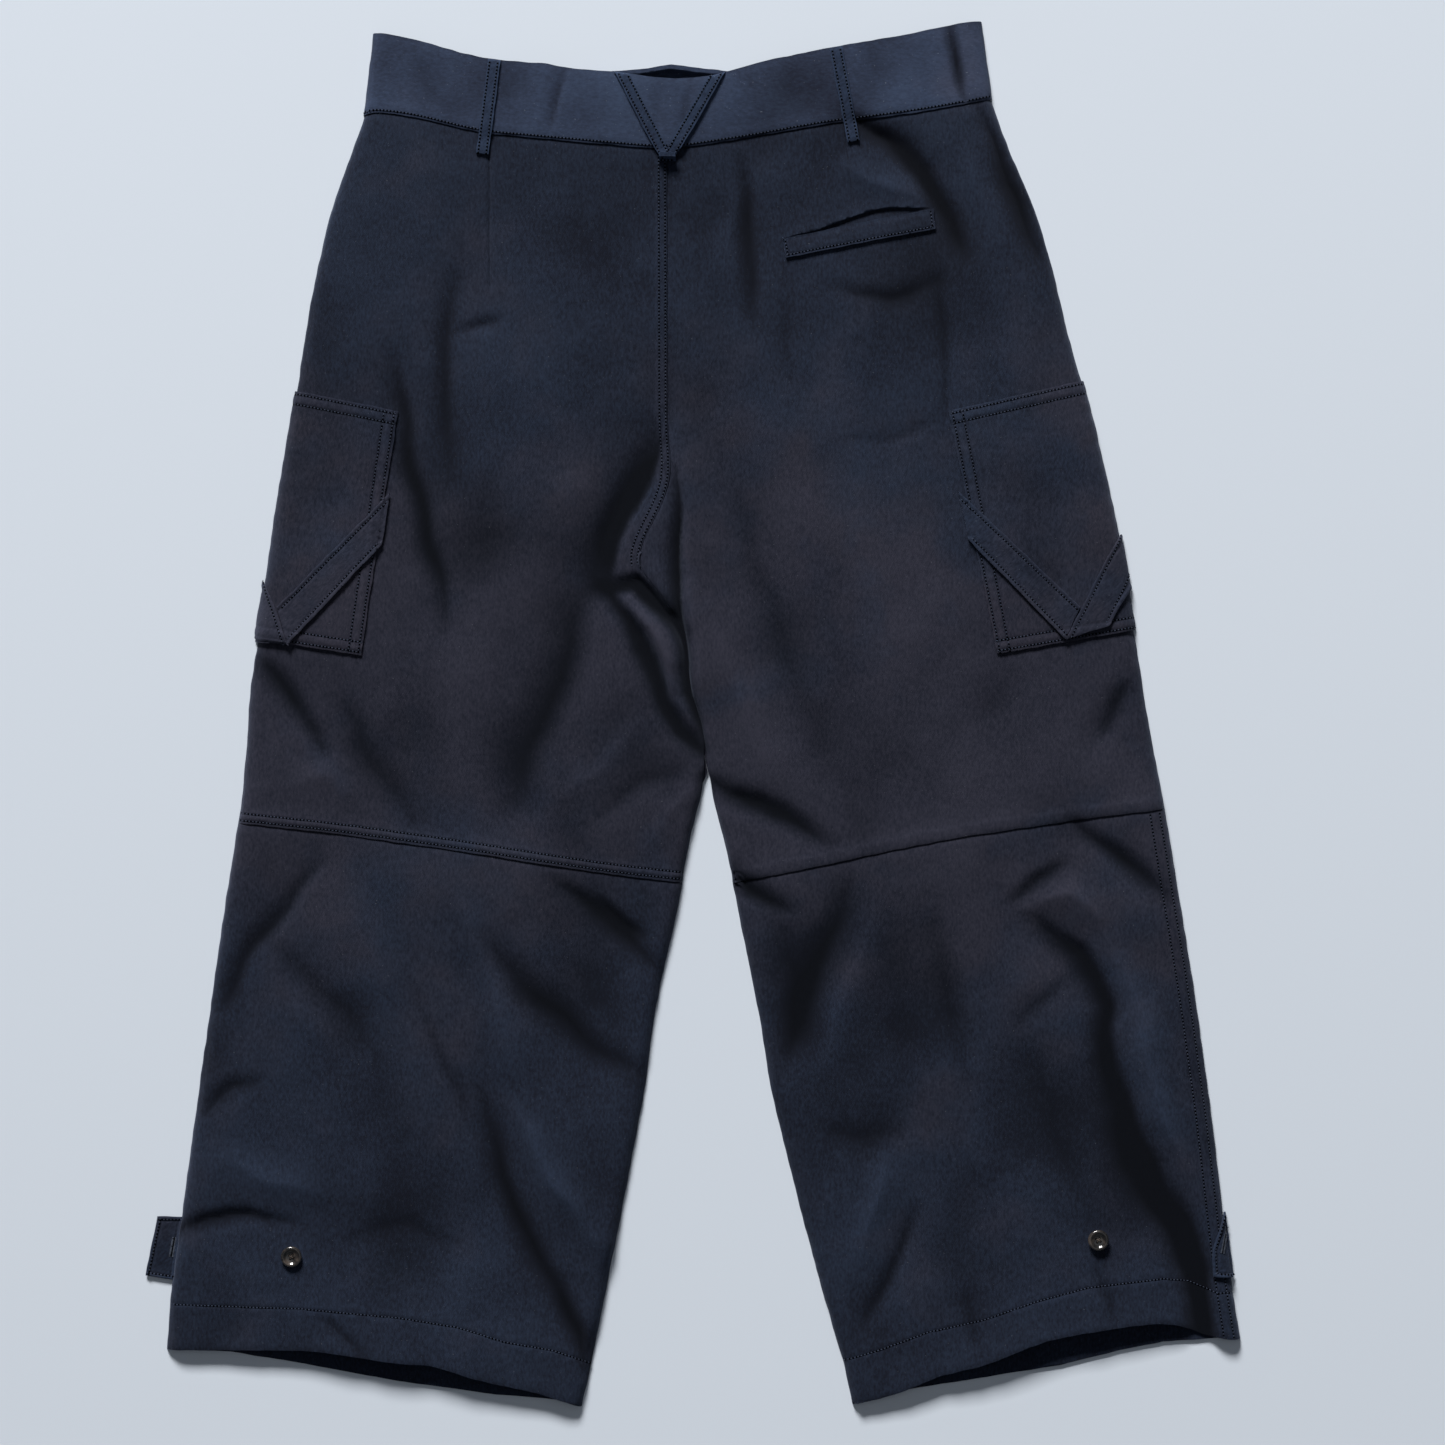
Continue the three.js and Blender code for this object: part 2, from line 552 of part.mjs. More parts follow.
const BELT_LOOPS = [
  { name: "belt_loop_left", from: [-142, 472], to: [-151, 402], width: 9, low: STRAP_CLEARANCE },
  { name: "belt_loop_right", from: [102, 480.5], to: [115.5, 411], width: 9, low: STRAP_CLEARANCE },
  { name: "back_loop_strap_right", from: [18, 459.5], to: [-13, 402.5], width: 9.1, low: STRAP_CLEARANCE },
  {
    name: "back_loop_strap_left", from: [-52, 462], to: [-22, 402.5], width: 9.1,
    low: STRAP_CLEARANCE + STRAP_CLOTH + SEAM_GAP,
  },
];
BELT_LOOPS.push({
  name: "back_loop_end", from: [-19.5, 399.8], to: [-19.5, 394.8], width: 13, low: STRAP_CLEARANCE,
});
BELT_LOOPS.forEach(({ name, from, to, width, low }) => {
  addPiece(name, beltStrip(from, to, width, low));
});

// Welt pocket on the right back
const WELT = [[64.5, 341], [67, 327.5], [174, 348.5], [172.5, 363]];
addPiece("welt_right", sewnOn(backGrids.back_right_upper, WELT, () => SEAM_GAP, CLOTH));

// Cargo pockets and the straps across them, over the side's rolled edge
const POCKET_OUTLINES = {
  left: [[-212, 217.5], [-310, 237], [-345, 58.5], [-238, 42]],
  right: [[184, 217.5], [300, 244], [345, 65], [218.5, 43]],
};
const STRAP_OUTLINES = {
  left: {
    upper: [[-217.5, 158.5], [-298, 77], [-290.5, 49.5], [-223, 121.5]],
    lower: [[-290.5, 49.5], [-298.5, 74], [-307.5, 98], [-322, 135], [-345, 100], [-320, 52]],
  },
  right: {
    upper: [[190.5, 160], [198, 124.5], [267.5, 53.5], [278, 77]],
    lower: [[267.5, 53.5], [299, 63.5], [312, 88.5], [332, 128], [315, 148]],
  },
};
const POCKET_CLOTH = 1.3;
const STRAP_LOW = SEAM_GAP + POCKET_CLOTH + SEAM_GAP;
for (const side of ["left", "right"]) {
  const grid = backGrids[`back_${side}_upper`];
  const straps = STRAP_OUTLINES[side];
  addPiece(`cargo_pocket_${side}`, sewnOn(grid, POCKET_OUTLINES[side], () => SEAM_GAP, POCKET_CLOTH));
  addPiece(`cargo_strap_${side}_upper`, sewnOn(grid, straps.upper, () => STRAP_LOW, STRAP_CLOTH));
  const overUpper = () => STRAP_LOW + STRAP_CLOTH + SEAM_GAP;
  addPiece(`cargo_strap_${side}_lower`, sewnOn(grid, straps.lower, overUpper, STRAP_CLOTH));
}

// Ankle tabs: the left one lies on the surface under the leg's edge,
// the right one is turned up over the leg's edge.
const LEFT_TAB = [[-366.8, -361.5], [-385, -361.5], [-394, -404], [-373.6, -407]];
const RIGHT_TAB = [[381, -358.5], [373, -385], [374.5, -404], [400, -406], [400, -356]];
addPiece("ankle_tab_left", flatPiece(LEFT_TAB, 0, STRAP_CLOTH));
const rightLeg = backGrids.back_right_lower;
addPiece("ankle_tab_right", sewnOn(rightLeg, RIGHT_TAB, () => SEAM_GAP, STRAP_CLOTH));

// Ankle buttons, a dished disc with a round rim, resting on the leg
const BUTTON_PROFILE = [
  [0, 0], [0.62, 0], [0.86, 0.25], [1, 0.6], [0.93, 0.9], [0.82, 1], [0.7, 0.92],
  [0.58, 0.62], [0.3, 0.55], [0, 0.55],
];
const BUTTONS = [
  { name: "button_left", leg: "back_left_lower", at: [-288, -389.5] },
  { name: "button_right", leg: "back_right_lower", at: [291, -377.5] },
];
BUTTONS.forEach(({ name, leg, at }) => {
  const radius = BUTTON_DIAMETER / 2;
  const profile = BUTTON_PROFILE.map(([r, z]) => new THREE.Vector2(r * radius, z * BUTTON_HEIGHT));
  const disc = new THREE.LatheGeometry(profile, BUTTON_SIDES).rotateX(Math.PI / 2);
  const seat = highestUnder(trousers.getObjectByName(leg), at, radius);
  const mesh = addPiece(name, disc, BUTTON_COLOUR, 0.35);
  mesh.position.set(at[0], at[1], seat + SEAM_GAP);
});

// Highest point of a piece under a disc
function highestUnder(mesh, [x, y], radius) {
  const down = new THREE.Vector3(0, 0, -1);
  const heights = [];
  for (let i = 0; i < 16; i += 1) {
    const turn = (i / 16) * Math.PI * 2;
    for (const share of [0, 0.5, 1]) {
      const start = new THREE.Vector3(
        x + Math.cos(turn) * radius * share,
        y + Math.sin(turn) * radius * share,
        CUTTER_HEIGHT,
      );
      const hit = new THREE.Raycaster(start, down).intersectObject(mesh)[0];
      heights.push(hit.point.z);
    }
  }
  return Math.max(...heights);
}

export default trousers;
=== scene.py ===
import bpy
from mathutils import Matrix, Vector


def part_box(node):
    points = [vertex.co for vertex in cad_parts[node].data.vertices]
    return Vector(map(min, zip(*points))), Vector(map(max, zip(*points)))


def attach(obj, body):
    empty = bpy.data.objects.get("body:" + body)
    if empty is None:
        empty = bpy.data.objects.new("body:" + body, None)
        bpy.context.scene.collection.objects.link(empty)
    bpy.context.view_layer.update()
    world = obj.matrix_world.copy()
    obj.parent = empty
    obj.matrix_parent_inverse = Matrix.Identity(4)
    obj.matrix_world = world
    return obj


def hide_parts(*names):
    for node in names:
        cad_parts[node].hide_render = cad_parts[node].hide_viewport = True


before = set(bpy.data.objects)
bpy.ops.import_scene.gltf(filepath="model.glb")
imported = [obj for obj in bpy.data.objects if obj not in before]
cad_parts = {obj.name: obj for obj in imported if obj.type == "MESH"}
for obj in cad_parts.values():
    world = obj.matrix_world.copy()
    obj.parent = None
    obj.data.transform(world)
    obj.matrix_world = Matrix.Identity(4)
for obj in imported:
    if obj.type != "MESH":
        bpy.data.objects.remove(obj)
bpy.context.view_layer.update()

import math

import bmesh
import bpy
import numpy as np
from mathutils import Matrix, Vector, geometry, kdtree, noise
from mathutils.bvhtree import BVHTree

MM = 0.001

# The surface, the light and the camera
# A plain pale floor under the laid trousers, one broad soft light from beyond the waist,
# a weak one from the hems, and a camera straight above.
FLOOR_COLOUR = (0.60, 0.655, 0.725)
FLOOR_ROUGHNESS = 0.8
FLOOR_SIZE = 9.0
FLOOR_DROP = 0.3 * MM
CAMERA_HEIGHT = 2.6
CAMERA_PLAN = (0.0214, -0.0061)
VIEW_WIDTH = 1.0404
SENSOR = 36.0
LIGHTS = (
    ("key", (-3.0, 12.2, 6.0), (4.6, 3.0), 4000.0, (1.0, 0.985, 0.97)),
    ("overhead", (0.3, 0.2, 3.2), (2.6, 2.6), 7.0, (0.95, 0.975, 1.0)),
    ("hem_fill", (0.2, -2.2, 1.6), (2.0, 1.2), 1.2, (0.93, 0.96, 1.0)),
)
AIR_COLOUR = (0.80, 0.88, 1.0)
AIR_STRENGTH = 0.09


def link(name, data):
    """An object of a mesh, lamp or camera, put in the scene."""
    made = bpy.data.objects.new(name, data)
    bpy.context.scene.collection.objects.link(made)
    return made


def take_mesh(sheet, name):
    """The mesh of a finished bmesh."""
    mesh = bpy.data.meshes.new(name)
    sheet.to_mesh(mesh)
    sheet.free()
    return mesh


def new_material(name):
    """A material with its nodes, and the sockets of its shader."""
    material = bpy.data.materials.new(name)
    material.use_nodes = True
    return material, material.node_tree.nodes["Principled BSDF"].inputs


def lay_floor():
    flat = bmesh.new()
    bmesh.ops.create_grid(flat, x_segments=1, y_segments=1, size=FLOOR_SIZE / 2)
    bmesh.ops.translate(flat, verts=flat.verts, vec=(0, 0, -FLOOR_DROP))
    mesh = take_mesh(flat, "floor")
    material, sockets = new_material("pale_floor")
    sockets["Base Color"].default_value = (*FLOOR_COLOUR, 1)
    sockets["Roughness"].default_value = FLOOR_ROUGHNESS
    mesh.materials.append(material)
    link("floor", mesh)


def hang_light(name, place, size, power, colour):
    lamp = bpy.data.lights.new(name, "AREA")
    lamp.shape = "RECTANGLE"
    lamp.size, lamp.size_y = size
    lamp.energy = power
    lamp.color = colour
    holder = link(name, lamp)
    holder.location = place
    holder.rotation_euler = (-Vector(place)).to_track_quat("-Z", "Y").to_euler()


def place_camera():
    lens = bpy.data.cameras.new("camera")
    lens.sensor_width = SENSOR
    lens.lens = SENSOR * CAMERA_HEIGHT / VIEW_WIDTH
    camera = link("camera", lens)
    camera.location = (*CAMERA_PLAN, CAMERA_HEIGHT)
    bpy.context.scene.camera = camera


lay_floor()
for light in LIGHTS:
    hang_light(*light)
place_camera()
world = bpy.data.worlds.new("soft_air")
world.use_nodes = True
air = world.node_tree.nodes["Background"].inputs
air["Color"].default_value = (*AIR_COLOUR, 1)
air["Strength"].default_value = AIR_STRENGTH
bpy.context.scene.world = world
bpy.context.scene.view_settings.view_transform = "Standard"


# The cloth
# Black-navy cotton twill, matt, with a steep fine rib, small pale flecks of lint and
# cloudy wear that is browner in places. Its colour is painted darker in its folds (painted
# shade) and bluer and paler on what stands proud (wear and painted light).
# DEEP is the darkest tone: where the clouds run low, and as painted shade deep in the folds
DEEP = (0.0062, 0.0074, 0.0135)
BLUE = (0.0213, 0.0310, 0.0552)
BROWN = (0.0328, 0.0293, 0.0402)
LINT = (0.13, 0.14, 0.16)
LINT_SHARE = 0.5
RIB_PITCH = 0.75 * MM
RIB_DEPTH = 0.16 * MM
RIB_SLOPE = 0.62
TURN_SLOPE = 1.3
TURN_PITCH = 1.7
TURN_HEIGHT = 0.45
YARN_STRETCH = (1.0, 0.45, 1.0)
THIGH_Y = 0.0
# How dark the colour is painted in the deepest folds (painted shade), and how much a piece's
# recorded height makes it paler where it stands proud and darker in its folds (wear, painted light
# and painted shade)
FOLD_SHADE = 0.05
RELIEF_SHADE_AND_WEAR = 0.62
SPECULAR = 0.17
SHEEN = 0.10
SHEEN_ROUGHNESS = 0.45
SHEEN_TINT = (0.62, 0.72, 1.0)
BUMP_STRENGTH = 0.55
SLUB_HEIGHT = 2.2
# How fine the noises of the colour are, in waves a metre
CLOUDS = 7.0
PATCHES = 21.0
SLUBS = 620.0
FLECKS = 900.0


class Nodes:
    """Short hand for adding and joining the nodes of one tree."""

    def __init__(self, tree):
        self.tree = tree

    def add(self, kind, **settings):
        made = self.tree.nodes.new(kind)
        for key, value in settings.items():
            setattr(made, key, value)
        return made

    def join(self, start, end):
        self.tree.links.new(start, end)

    def maths(self, operation, first, second=0.0):
        made = self.add("ShaderNodeMath", operation=operation)
        for socket, value in zip(made.inputs, (first, second)):
            if isinstance(value, (int, float)):
                socket.default_value = value
            else:
                self.join(value, socket)
        return made.outputs[0]

    def plus(self, first, second):
        return self.maths("ADD", first, second)

    def times(self, first, second):
        return self.maths("MULTIPLY", first, second)

    def noise(self, place, scale, detail=2.0, roughness=0.5):
        made = self.add("ShaderNodeTexNoise")
        for socket, number in zip(("Scale", "Detail", "Roughness"), (scale, detail, roughness)):
            made.inputs[socket].default_value = number
        self.join(place, made.inputs["Vector"])
        return made.outputs["Fac"]

    def span(self, value, low, high, start=0.0, end=1.0):
        made = self.add("ShaderNodeMapRange")
        ends = ("From Min", "From Max", "To Min", "To Max")
        for socket, number in zip(ends, (low, high, start, end)):
            made.inputs[socket].default_value = number
        self.join(value, made.inputs["Value"])
        return made.outputs["Result"]

    def blend(self, share, first, second):
        made = self.add("ShaderNodeMix", data_type="RGBA")
        self.join(share, made.inputs[0])
        for socket, value in ((made.inputs[6], first), (made.inputs[7], second)):
            if isinstance(value, tuple):
                socket.default_value = (*value, 1)
            else:
                self.join(value, socket)
        return made.outputs[2]


def weave_group():
    """Steep twill ribs crossed by the yarn's turns, as a height and a shade."""
    tree = bpy.data.node_groups.new("twill_weave", "ShaderNodeTree")
    for name, kind in (("Turn", "INPUT"), ("Height", "OUTPUT"), ("Slub", "OUTPUT")):
        tree.interface.new_socket(name, in_out=kind, socket_type="NodeSocketFloat")
    use = Nodes(tree)
    given = use.add("NodeGroupInput")
    result = use.add("NodeGroupOutput")
    place = use.add("ShaderNodeTexCoord").outputs["Object"]
    turned = use.add("ShaderNodeVectorRotate", rotation_type="Z_AXIS")
    use.join(place, turned.inputs["Vector"])
    use.join(given.outputs["Turn"], turned.inputs["Angle"])
    split = use.add("ShaderNodeSeparateXYZ")
    use.join(turned.outputs["Vector"], split.inputs["Vector"])
    across, along = split.outputs["X"], split.outputs["Y"]
    steep = use.plus(across, use.times(along, RIB_SLOPE))
    ribs = use.maths("SINE", use.times(steep, math.tau / RIB_PITCH))
    flat = use.maths("SUBTRACT", use.times(along, TURN_SLOPE), across)
    turns = use.maths("SINE", use.times(flat, math.tau / (RIB_PITCH * TURN_PITCH)))
    height = use.plus(ribs, use.times(turns, TURN_HEIGHT))
    long_yarn = use.add("ShaderNodeMapping")
    long_yarn.inputs["Scale"].default_value = YARN_STRETCH
    use.join(turned.outputs["Vector"], long_yarn.inputs["Vector"])
    slub = use.noise(long_yarn.outputs["Vector"], SLUBS, 3.0, 0.65)
    use.join(height, result.inputs["Height"])
    use.join(slub, result.inputs["Slub"])
    return tree


WEAVE = weave_group()


def twill(name, turn=0.0, painted_sheen_brightness=1.0, warm=0.75, tint=(1.0, 1.0, 1.0), slub=0.32):
    """The trousers' cloth on a piece whose grain is turned by an angle, painted brighter by a factor
    that stands in for the sheen of its grain.
    """
    material, sockets = new_material(name)
    use = Nodes(material.node_tree)
    weave = use.add("ShaderNodeGroup", node_tree=WEAVE)
    weave.inputs["Turn"].default_value = turn
    place = use.add("ShaderNodeTexCoord").outputs["Object"]
    relief = use.add("ShaderNodeAttribute", attribute_name="relief").outputs["Fac"]
    clouds = use.noise(place, CLOUDS, 3.0, 0.6)
    patches = use.noise(place, PATCHES, 4.0, 0.62)
    fleck = use.noise(place, FLECKS, 1.0)
    split = use.add("ShaderNodeSeparateXYZ")
    use.join(place, split.inputs["Vector"])
    from_thigh = use.maths("ABSOLUTE", use.maths("SUBTRACT", split.outputs["Y"], THIGH_Y))
    worn = use.span(from_thigh, 0.05, 0.36, 0.20, -0.16)
    mixed = use.plus(clouds, use.times(patches, 0.5))
    hue = use.span(use.plus(mixed, worn), 0.66, 0.90)
    tone = use.blend(use.times(hue, warm), BLUE, BROWN)
    # The recorded height paints the colour: darker in the folds as painted shade, paler where it
    # stands proud as wear and painted light
    wear = use.times(relief, RELIEF_SHADE_AND_WEAR)
    for cause in (
        (clouds, 0.3, 0.7, 0.16, 0.42),
        (patches, 0.3, 0.7, 0.04, 0.26),
        (from_thigh, 0.05, 0.30, 0.08, -0.10),
        (weave.outputs["Slub"], 0.32, 0.68, -slub, slub),
    ):
        wear = use.plus(wear, use.span(*cause))
    cloth = use.blend(use.span(wear, 0.0, 1.0), DEEP, tone)
    lint = use.span(fleck, 0.765, 0.80)
    cloth = use.blend(use.times(lint, LINT_SHARE), cloth, LINT)
    shade = use.add("ShaderNodeHueSaturation")
    # Painted shade: the colour's value falls in the deepest folds
    value = use.span(relief, -1.0, -0.06, FOLD_SHADE * painted_sheen_brightness, painted_sheen_brightness)
    use.join(value, shade.inputs["Value"])
    use.join(cloth, shade.inputs["Color"])
    tinted = use.add("ShaderNodeMix", data_type="RGBA", blend_type="MULTIPLY")
    tinted.inputs[0].default_value = 1.0
    use.join(shade.outputs["Color"], tinted.inputs[6])
    tinted.inputs[7].default_value = (*tint, 1)
    use.join(tinted.outputs[2], sockets["Base Color"])
    use.join(use.span(weave.outputs["Slub"], 0.2, 0.8, 0.80, 0.95), sockets["Roughness"])
    sockets["Specular IOR Level"].default_value = SPECULAR
    sockets["Specular Tint"].default_value = (*SHEEN_TINT, 1)
    sockets["Sheen Weight"].default_value = SHEEN
    sockets["Sheen Roughness"].default_value = SHEEN_ROUGHNESS
    sockets["Sheen Tint"].default_value = (*SHEEN_TINT, 1)
    bump = use.add("ShaderNodeBump")
    bump.inputs["Strength"].default_value = BUMP_STRENGTH
    bump.inputs["Distance"].default_value = RIB_DEPTH
    lumps = use.times(weave.outputs["Slub"], SLUB_HEIGHT)
    use.join(use.plus(weave.outputs["Height"], lumps), bump.inputs["Height"])
    use.join(bump.outputs["Normal"], sockets["Normal"])
    return material


TWILL = twill("twill")
# Pieces whose grain turns from the legs' are painted brighter, the band and loops most: painted
# sheen of the turned grain
TWILL_BAND = twill("twill_band", math.pi / 2, 2.45, 0.6, (1.0, 1.02, 1.02), slub=0.16)
TWILL_LOOP = twill("twill_loop", math.pi / 4, 1.9, 0.4, (0.92, 1.04, 1.10), slub=0.2)
TWILL_STRAP = twill("twill_strap", math.pi / 4, 1.15, 0.8, (0.98, 1.02, 1.04))
TWILL_POCKET = twill("twill_pocket", 0.12, 1.06, 0.85)
TWILL_WELT = twill("twill_welt", -0.19, 1.06, 0.4)


# The back legs
# Four pieces of twill: an upper and a lower one for each leg, joined across the knee by a
# lapped seam and along the middle by a felled one. Their edges roll over the fronts.
CLOTH = 1.2 * MM
MERGE = 0.02 * MM
OUTER_LEAST = 0.12
SMOOTH_LEVELS = 3
STEEP, LEVEL, FULLY_LEVEL = 0.3, 0.85, 0.98
OFF_FLOOR = 2.0 * MM
LOWEST_CLOTH = 2.95 * MM
SOFT_STOP = 0.45 * MM
WELL_OVER = 20
SHARP_FOLD = math.radians(58)

# Creases, listed in millimetres: name, depth (under 0) or height, reach to the left and
# to the right of the way along it, and its places.
CREASES = (
    ("left dart end", -1.3, 5, 6, [(-168, 272), (-157, 276), (-146, 280), (-134, 284)]),
    ("left hip pleat", -1.7, 8, 11, [(-166, 320), (-177, 262), (-176, 206), (-170, 170)]),
    ("beside left pocket", -2.6, 6, 10,
     [(-216, 252), (-209, 223), (-198, 168), (-186, 111), (-176, 62)]),
    ("left hip hollow", -0.5, 20, 22, [(-173, 120), (-139, 128), (-114, 140)]),
    ("left seat core", -4.4, 3, 11,
     [(-23, 196), (-29, 174), (-36, 158), (-45, 142), (-53, 125), (-60, 100)]),
    ("left seat shade", -1.9, 10, 26, [(-30, 190), (-56, 140), (-76, 90)]),
    ("left star arm", -5.6, 6, 7, [(-66, 93), (-50, 95), (-41, 97), (-32, 84), (-22, 70), (-6, 56)]),
    ("left crotch core", -5.0, 5, 7,
     [(-62, 92), (-50, 71), (-37, 42), (-26, 22), (-18, 3), (-10, -11), (8, -29)]),
    ("left crotch strip", 2.4, 7, 5, [(-52, 86), (-33, 58), (-22, 37), (-13, 11), (-2, -7)]),
    ("left crotch inner", -2.6, 3, 5, [(-11, 64), (-6, 40), (-2, 20), (6, -12)]),
    ("left thigh drag", -2.2, 14, 24, [(-62, 112), (-84, 66), (-102, 20), (-118, -25), (-134, -80)]),
    ("left crotch ray high", 0.8, 8, 8, [(-38, -7), (-67, -40), (-96, -62)]),
    ("left crotch ray low", -0.8, 7, 9, [(-2, -35), (-38, -48), (-70, -78)]),
    ("left crotch ray inner", 0.6, 8, 6, [(5, -46), (-18, -68), (-32, -92)]),
    ("under left pocket", -2.4, 8, 10, [(-310, 44), (-289, 7), (-262, -30)]),
    ("left knee drag", -1.4, 9, 12, [(-254, 10), (-227, -33), (-198, -82)]),
    ("left knee swell", 1.1, 14, 12, [(-290, -55), (-261, -40), (-240, -62)]),
    ("left calf outer", -1.9, 6, 9, [(-267, -111), (-300, -144), (-322, -179), (-336, -213)]),
    ("left calf hollow", -1.6, 14, 16, [(-300, -164), (-261, -206), (-220, -250)]),
    ("left calf edge", -1.4, 7, 8, [(-352, -287), (-332, -268), (-310, -262)]),
    ("left inseam upper", -2.2, 6, 8, [(-100, -120), (-64, -147), (-20, -186)]),
    ("left inseam short", -1.6, 5, 5, [(-70, -132), (-51, -153), (-32, -163)]),
    ("left inseam middle", -1.9, 9, 12, [(-146, -168), (-104, -207), (-68, -242), (-30, -264)]),
    ("left shin core", -2.3, 7, 10, [(-152, -270), (-133, -336), (-107, -395), (-68, -466)]),
    ("left shin light", 1.9, 12, 9, [(-130, -275), (-98, -336), (-64, -386)]),
    ("left shin ridge", 1.1, 12, 10, [(-169, -131), (-139, -206), (-123, -262)]),
    ("left shin faint", -0.9, 7, 8, [(-198, -190), (-182, -242), (-158, -300)]),
    ("left ankle fold", -1.9, 5, 8, [(-386, -376), (-350, -365), (-319, -360), (-284, -366)]),
    ("left ankle peak", -0.5, 6, 8, [(-250, -376), (-204, -366), (-160, -384)]),
    ("left ankle swell", 1.2, 14, 12, [(-343, -314), (-310, -333), (-261, -343)]),
    ("left hem dip", -1.0, 5, 6, [(-267, -433), (-250, -448), (-234, -462)]),
    ("left hem corner", -1.6, 6, 8, [(-96, -415), (-83, -444), (-78, -474)]),
    ("right seat pleat", -1.7, 5, 9, [(35, 399), (41, 341), (47, 272)]),
    ("right seat pleat lip", 0.8, 6, 8, [(27, 392), (30, 334), (35, 276)]),
    ("above welt fold", -3.6, 8, 11, [(112, 428), (142, 412), (166, 390), (184, 360), (194, 330)]),
    ("above welt swell", 1.3, 12, 10, [(103, 393), (129, 380), (161, 369)]),
    ("right side pleat", -2.2, 7, 8, [(206, 438), (227, 384), (252, 324)]),
    ("right side swell", 1.0, 12, 10, [(190, 409), (210, 370), (224, 325)]),
    ("pocket bag fold", -1.2, 8, 8, [(100, 307), (122, 300), (140, 299), (160, 305), (180, 313)]),
    ("pocket bag foot", -0.6, 6, 6, [(103, 197), (139, 199), (174, 209)]),
    ("pocket bag side", -0.9, 5, 6, [(179, 325), (179, 262), (185, 176)]),
    ("pocket bag inner", -0.5, 5, 5, [(66, 325), (70, 276), (77, 212)]),
    ("right thigh drag", -0.7, 16, 20, [(8, 223), (40, 132), (77, 17), (122, -81)]),
    ("right thigh light", 0.9, 14, 14, [(14, 68), (38, 3), (57, -52)]),
    ("right thigh rise", 0.9, 44, 44, [(112, 190), (128, 90), (150, -40)]),
    ("right fold facet", -3.6, 2, 8,
     [(-12, 178), (-10, 140), (-9, 101), (-8, 58), (-3, 26), (4, -6), (9, -26)]),
    ("right fold edge", 1.0, 9, 3, [(-6, 184), (-5, 140), (-2, 92), (3, 50), (8, 20), (13, -16)]),
    ("right inseam hollow", -1.2, 24, 24, [(54, -130), (74, -190), (88, -244)]),
    ("right shin wide", -0.9, 30, 34, [(150, -170), (152, -238), (138, -300)]),
    ("right shin low wide", -1.0, 26, 26, [(240, -230), (262, -310), (296, -385)]),
    ("left inseam hollow", -0.8, 22, 26, [(-110, -150), (-70, -196), (-44, -248)]),
    ("left mid shin hollow", -0.4, 26, 30, [(-200, -134), (-150, -165), (-112, -200)]),
    ("right outer thigh", -2.0, 8, 9, [(316, 24), (305, 6), (292, -22)]),
    ("right crotch cross", -3.2, 7, 9, [(8, -45), (30, -58), (52, -67), (100, -95)]),
    ("right crotch corner", -2.6, 8, 7, [(18, -110), (40, -126), (70, -141)]),
    ("right thigh hollow", -0.5, 22, 22, [(171, -24), (200, -4), (228, 17)]),
    ("right knee outer", -2.6, 7, 10, [(272, -73), (308, -104), (348, -137)]),
    ("right knee peak", -1.8, 6, 8, [(227, -135), (246, -118), (267, -107)]),
    ("right knee light", 1.7, 10, 12, [(246, -135), (270, -131), (298, -147)]),
    ("right shin core high", -3.4, 6, 12, [(243, -146), (279, -173), (297, -209), (303, -270)]),
    ("right shin core low", -4.2, 7, 17,
     [(301, -236), (312, -296), (330, -335), (350, -368), (364, -410), (372, -460)]),
    ("right shin facet", 1.8, 12, 12, [(302, -168), (322, -220), (338, -285), (362, -343)]),
    ("right shin inner", -1.1, 8, 8, [(227, -230), (247, -209), (270, -187)]),
    ("right calf inner", -2.1, 9, 12, [(116, -122), (89, -181), (66, -256)]),
    ("right calf inner light", 0.9, 10, 9, [(126, -156), (107, -206), (96, -249)]),
    ("right calf faint", -0.7, 8, 8, [(169, -134), (184, -206), (201, -282)]),
    ("right shin hollow", -1.2, 18, 18, [(96, -298), (125, -302), (158, -297)]),
    ("right ankle light", 1.5, 11, 12, [(143, -314), (128, -357), (119, -400)]),
    ("right ankle crease", -1.7, 6, 7, [(158, -356), (141, -405), (122, -444)]),
    ("right hem outer", -2.6, 9, 12, [(350, -350), (368, -402), (366, -470)]),
    ("right hem ripple", -0.9, 6, 7, [(192, -415), (202, -444), (210, -469)]),
    ("right hem ripple outer", -0.8, 6, 7, [(290, -395), (300, -422), (302, -442)]),
    ("band crease", -1.2, 2, 6, [(-90, 462), (-97, 442), (-104, 420)]),
    ("band right roll", -2.2, 4, 5, [(184, 494), (191, 471), (198, 439)]),
    ("band left hollow", -0.6, 12, 14, [(-204, 474), (-189, 449), (-191, 429)]),
    ("band press left", -0.5, 3, 3, [(-25, 454), (-24, 428), (-23, 409)]),
    ("band press right", -0.5, 3, 3, [(-2, 454), (-3, 431), (-8, 413)]),
)
CREASE_GAIN = 1.8
CREASE_DRIFT = 6.0 * MM
DRIFT_WAVES = 24
ROUND_SHARE = 0.55
SHARP_SHARE = 0.45
SHARP_FALL = 2.4
# The height at which a crease's recorded relief gives the fullest painted shade or paleness
FULL_RELIEF = 4.0 * MM
EDGE_WOBBLE = 0.5 * MM
WOBBLE_WAVES = 110
# The cloth's own unevenness: waves a metre across and along, and their height
CRUMPLE = (
    ("slow", 12.0, 8.0, 1.5 * MM),
    ("middle", 34.0, 22.0, 0.75 * MM),
    ("small", 90.0, 70.0, 0.20 * MM),
)


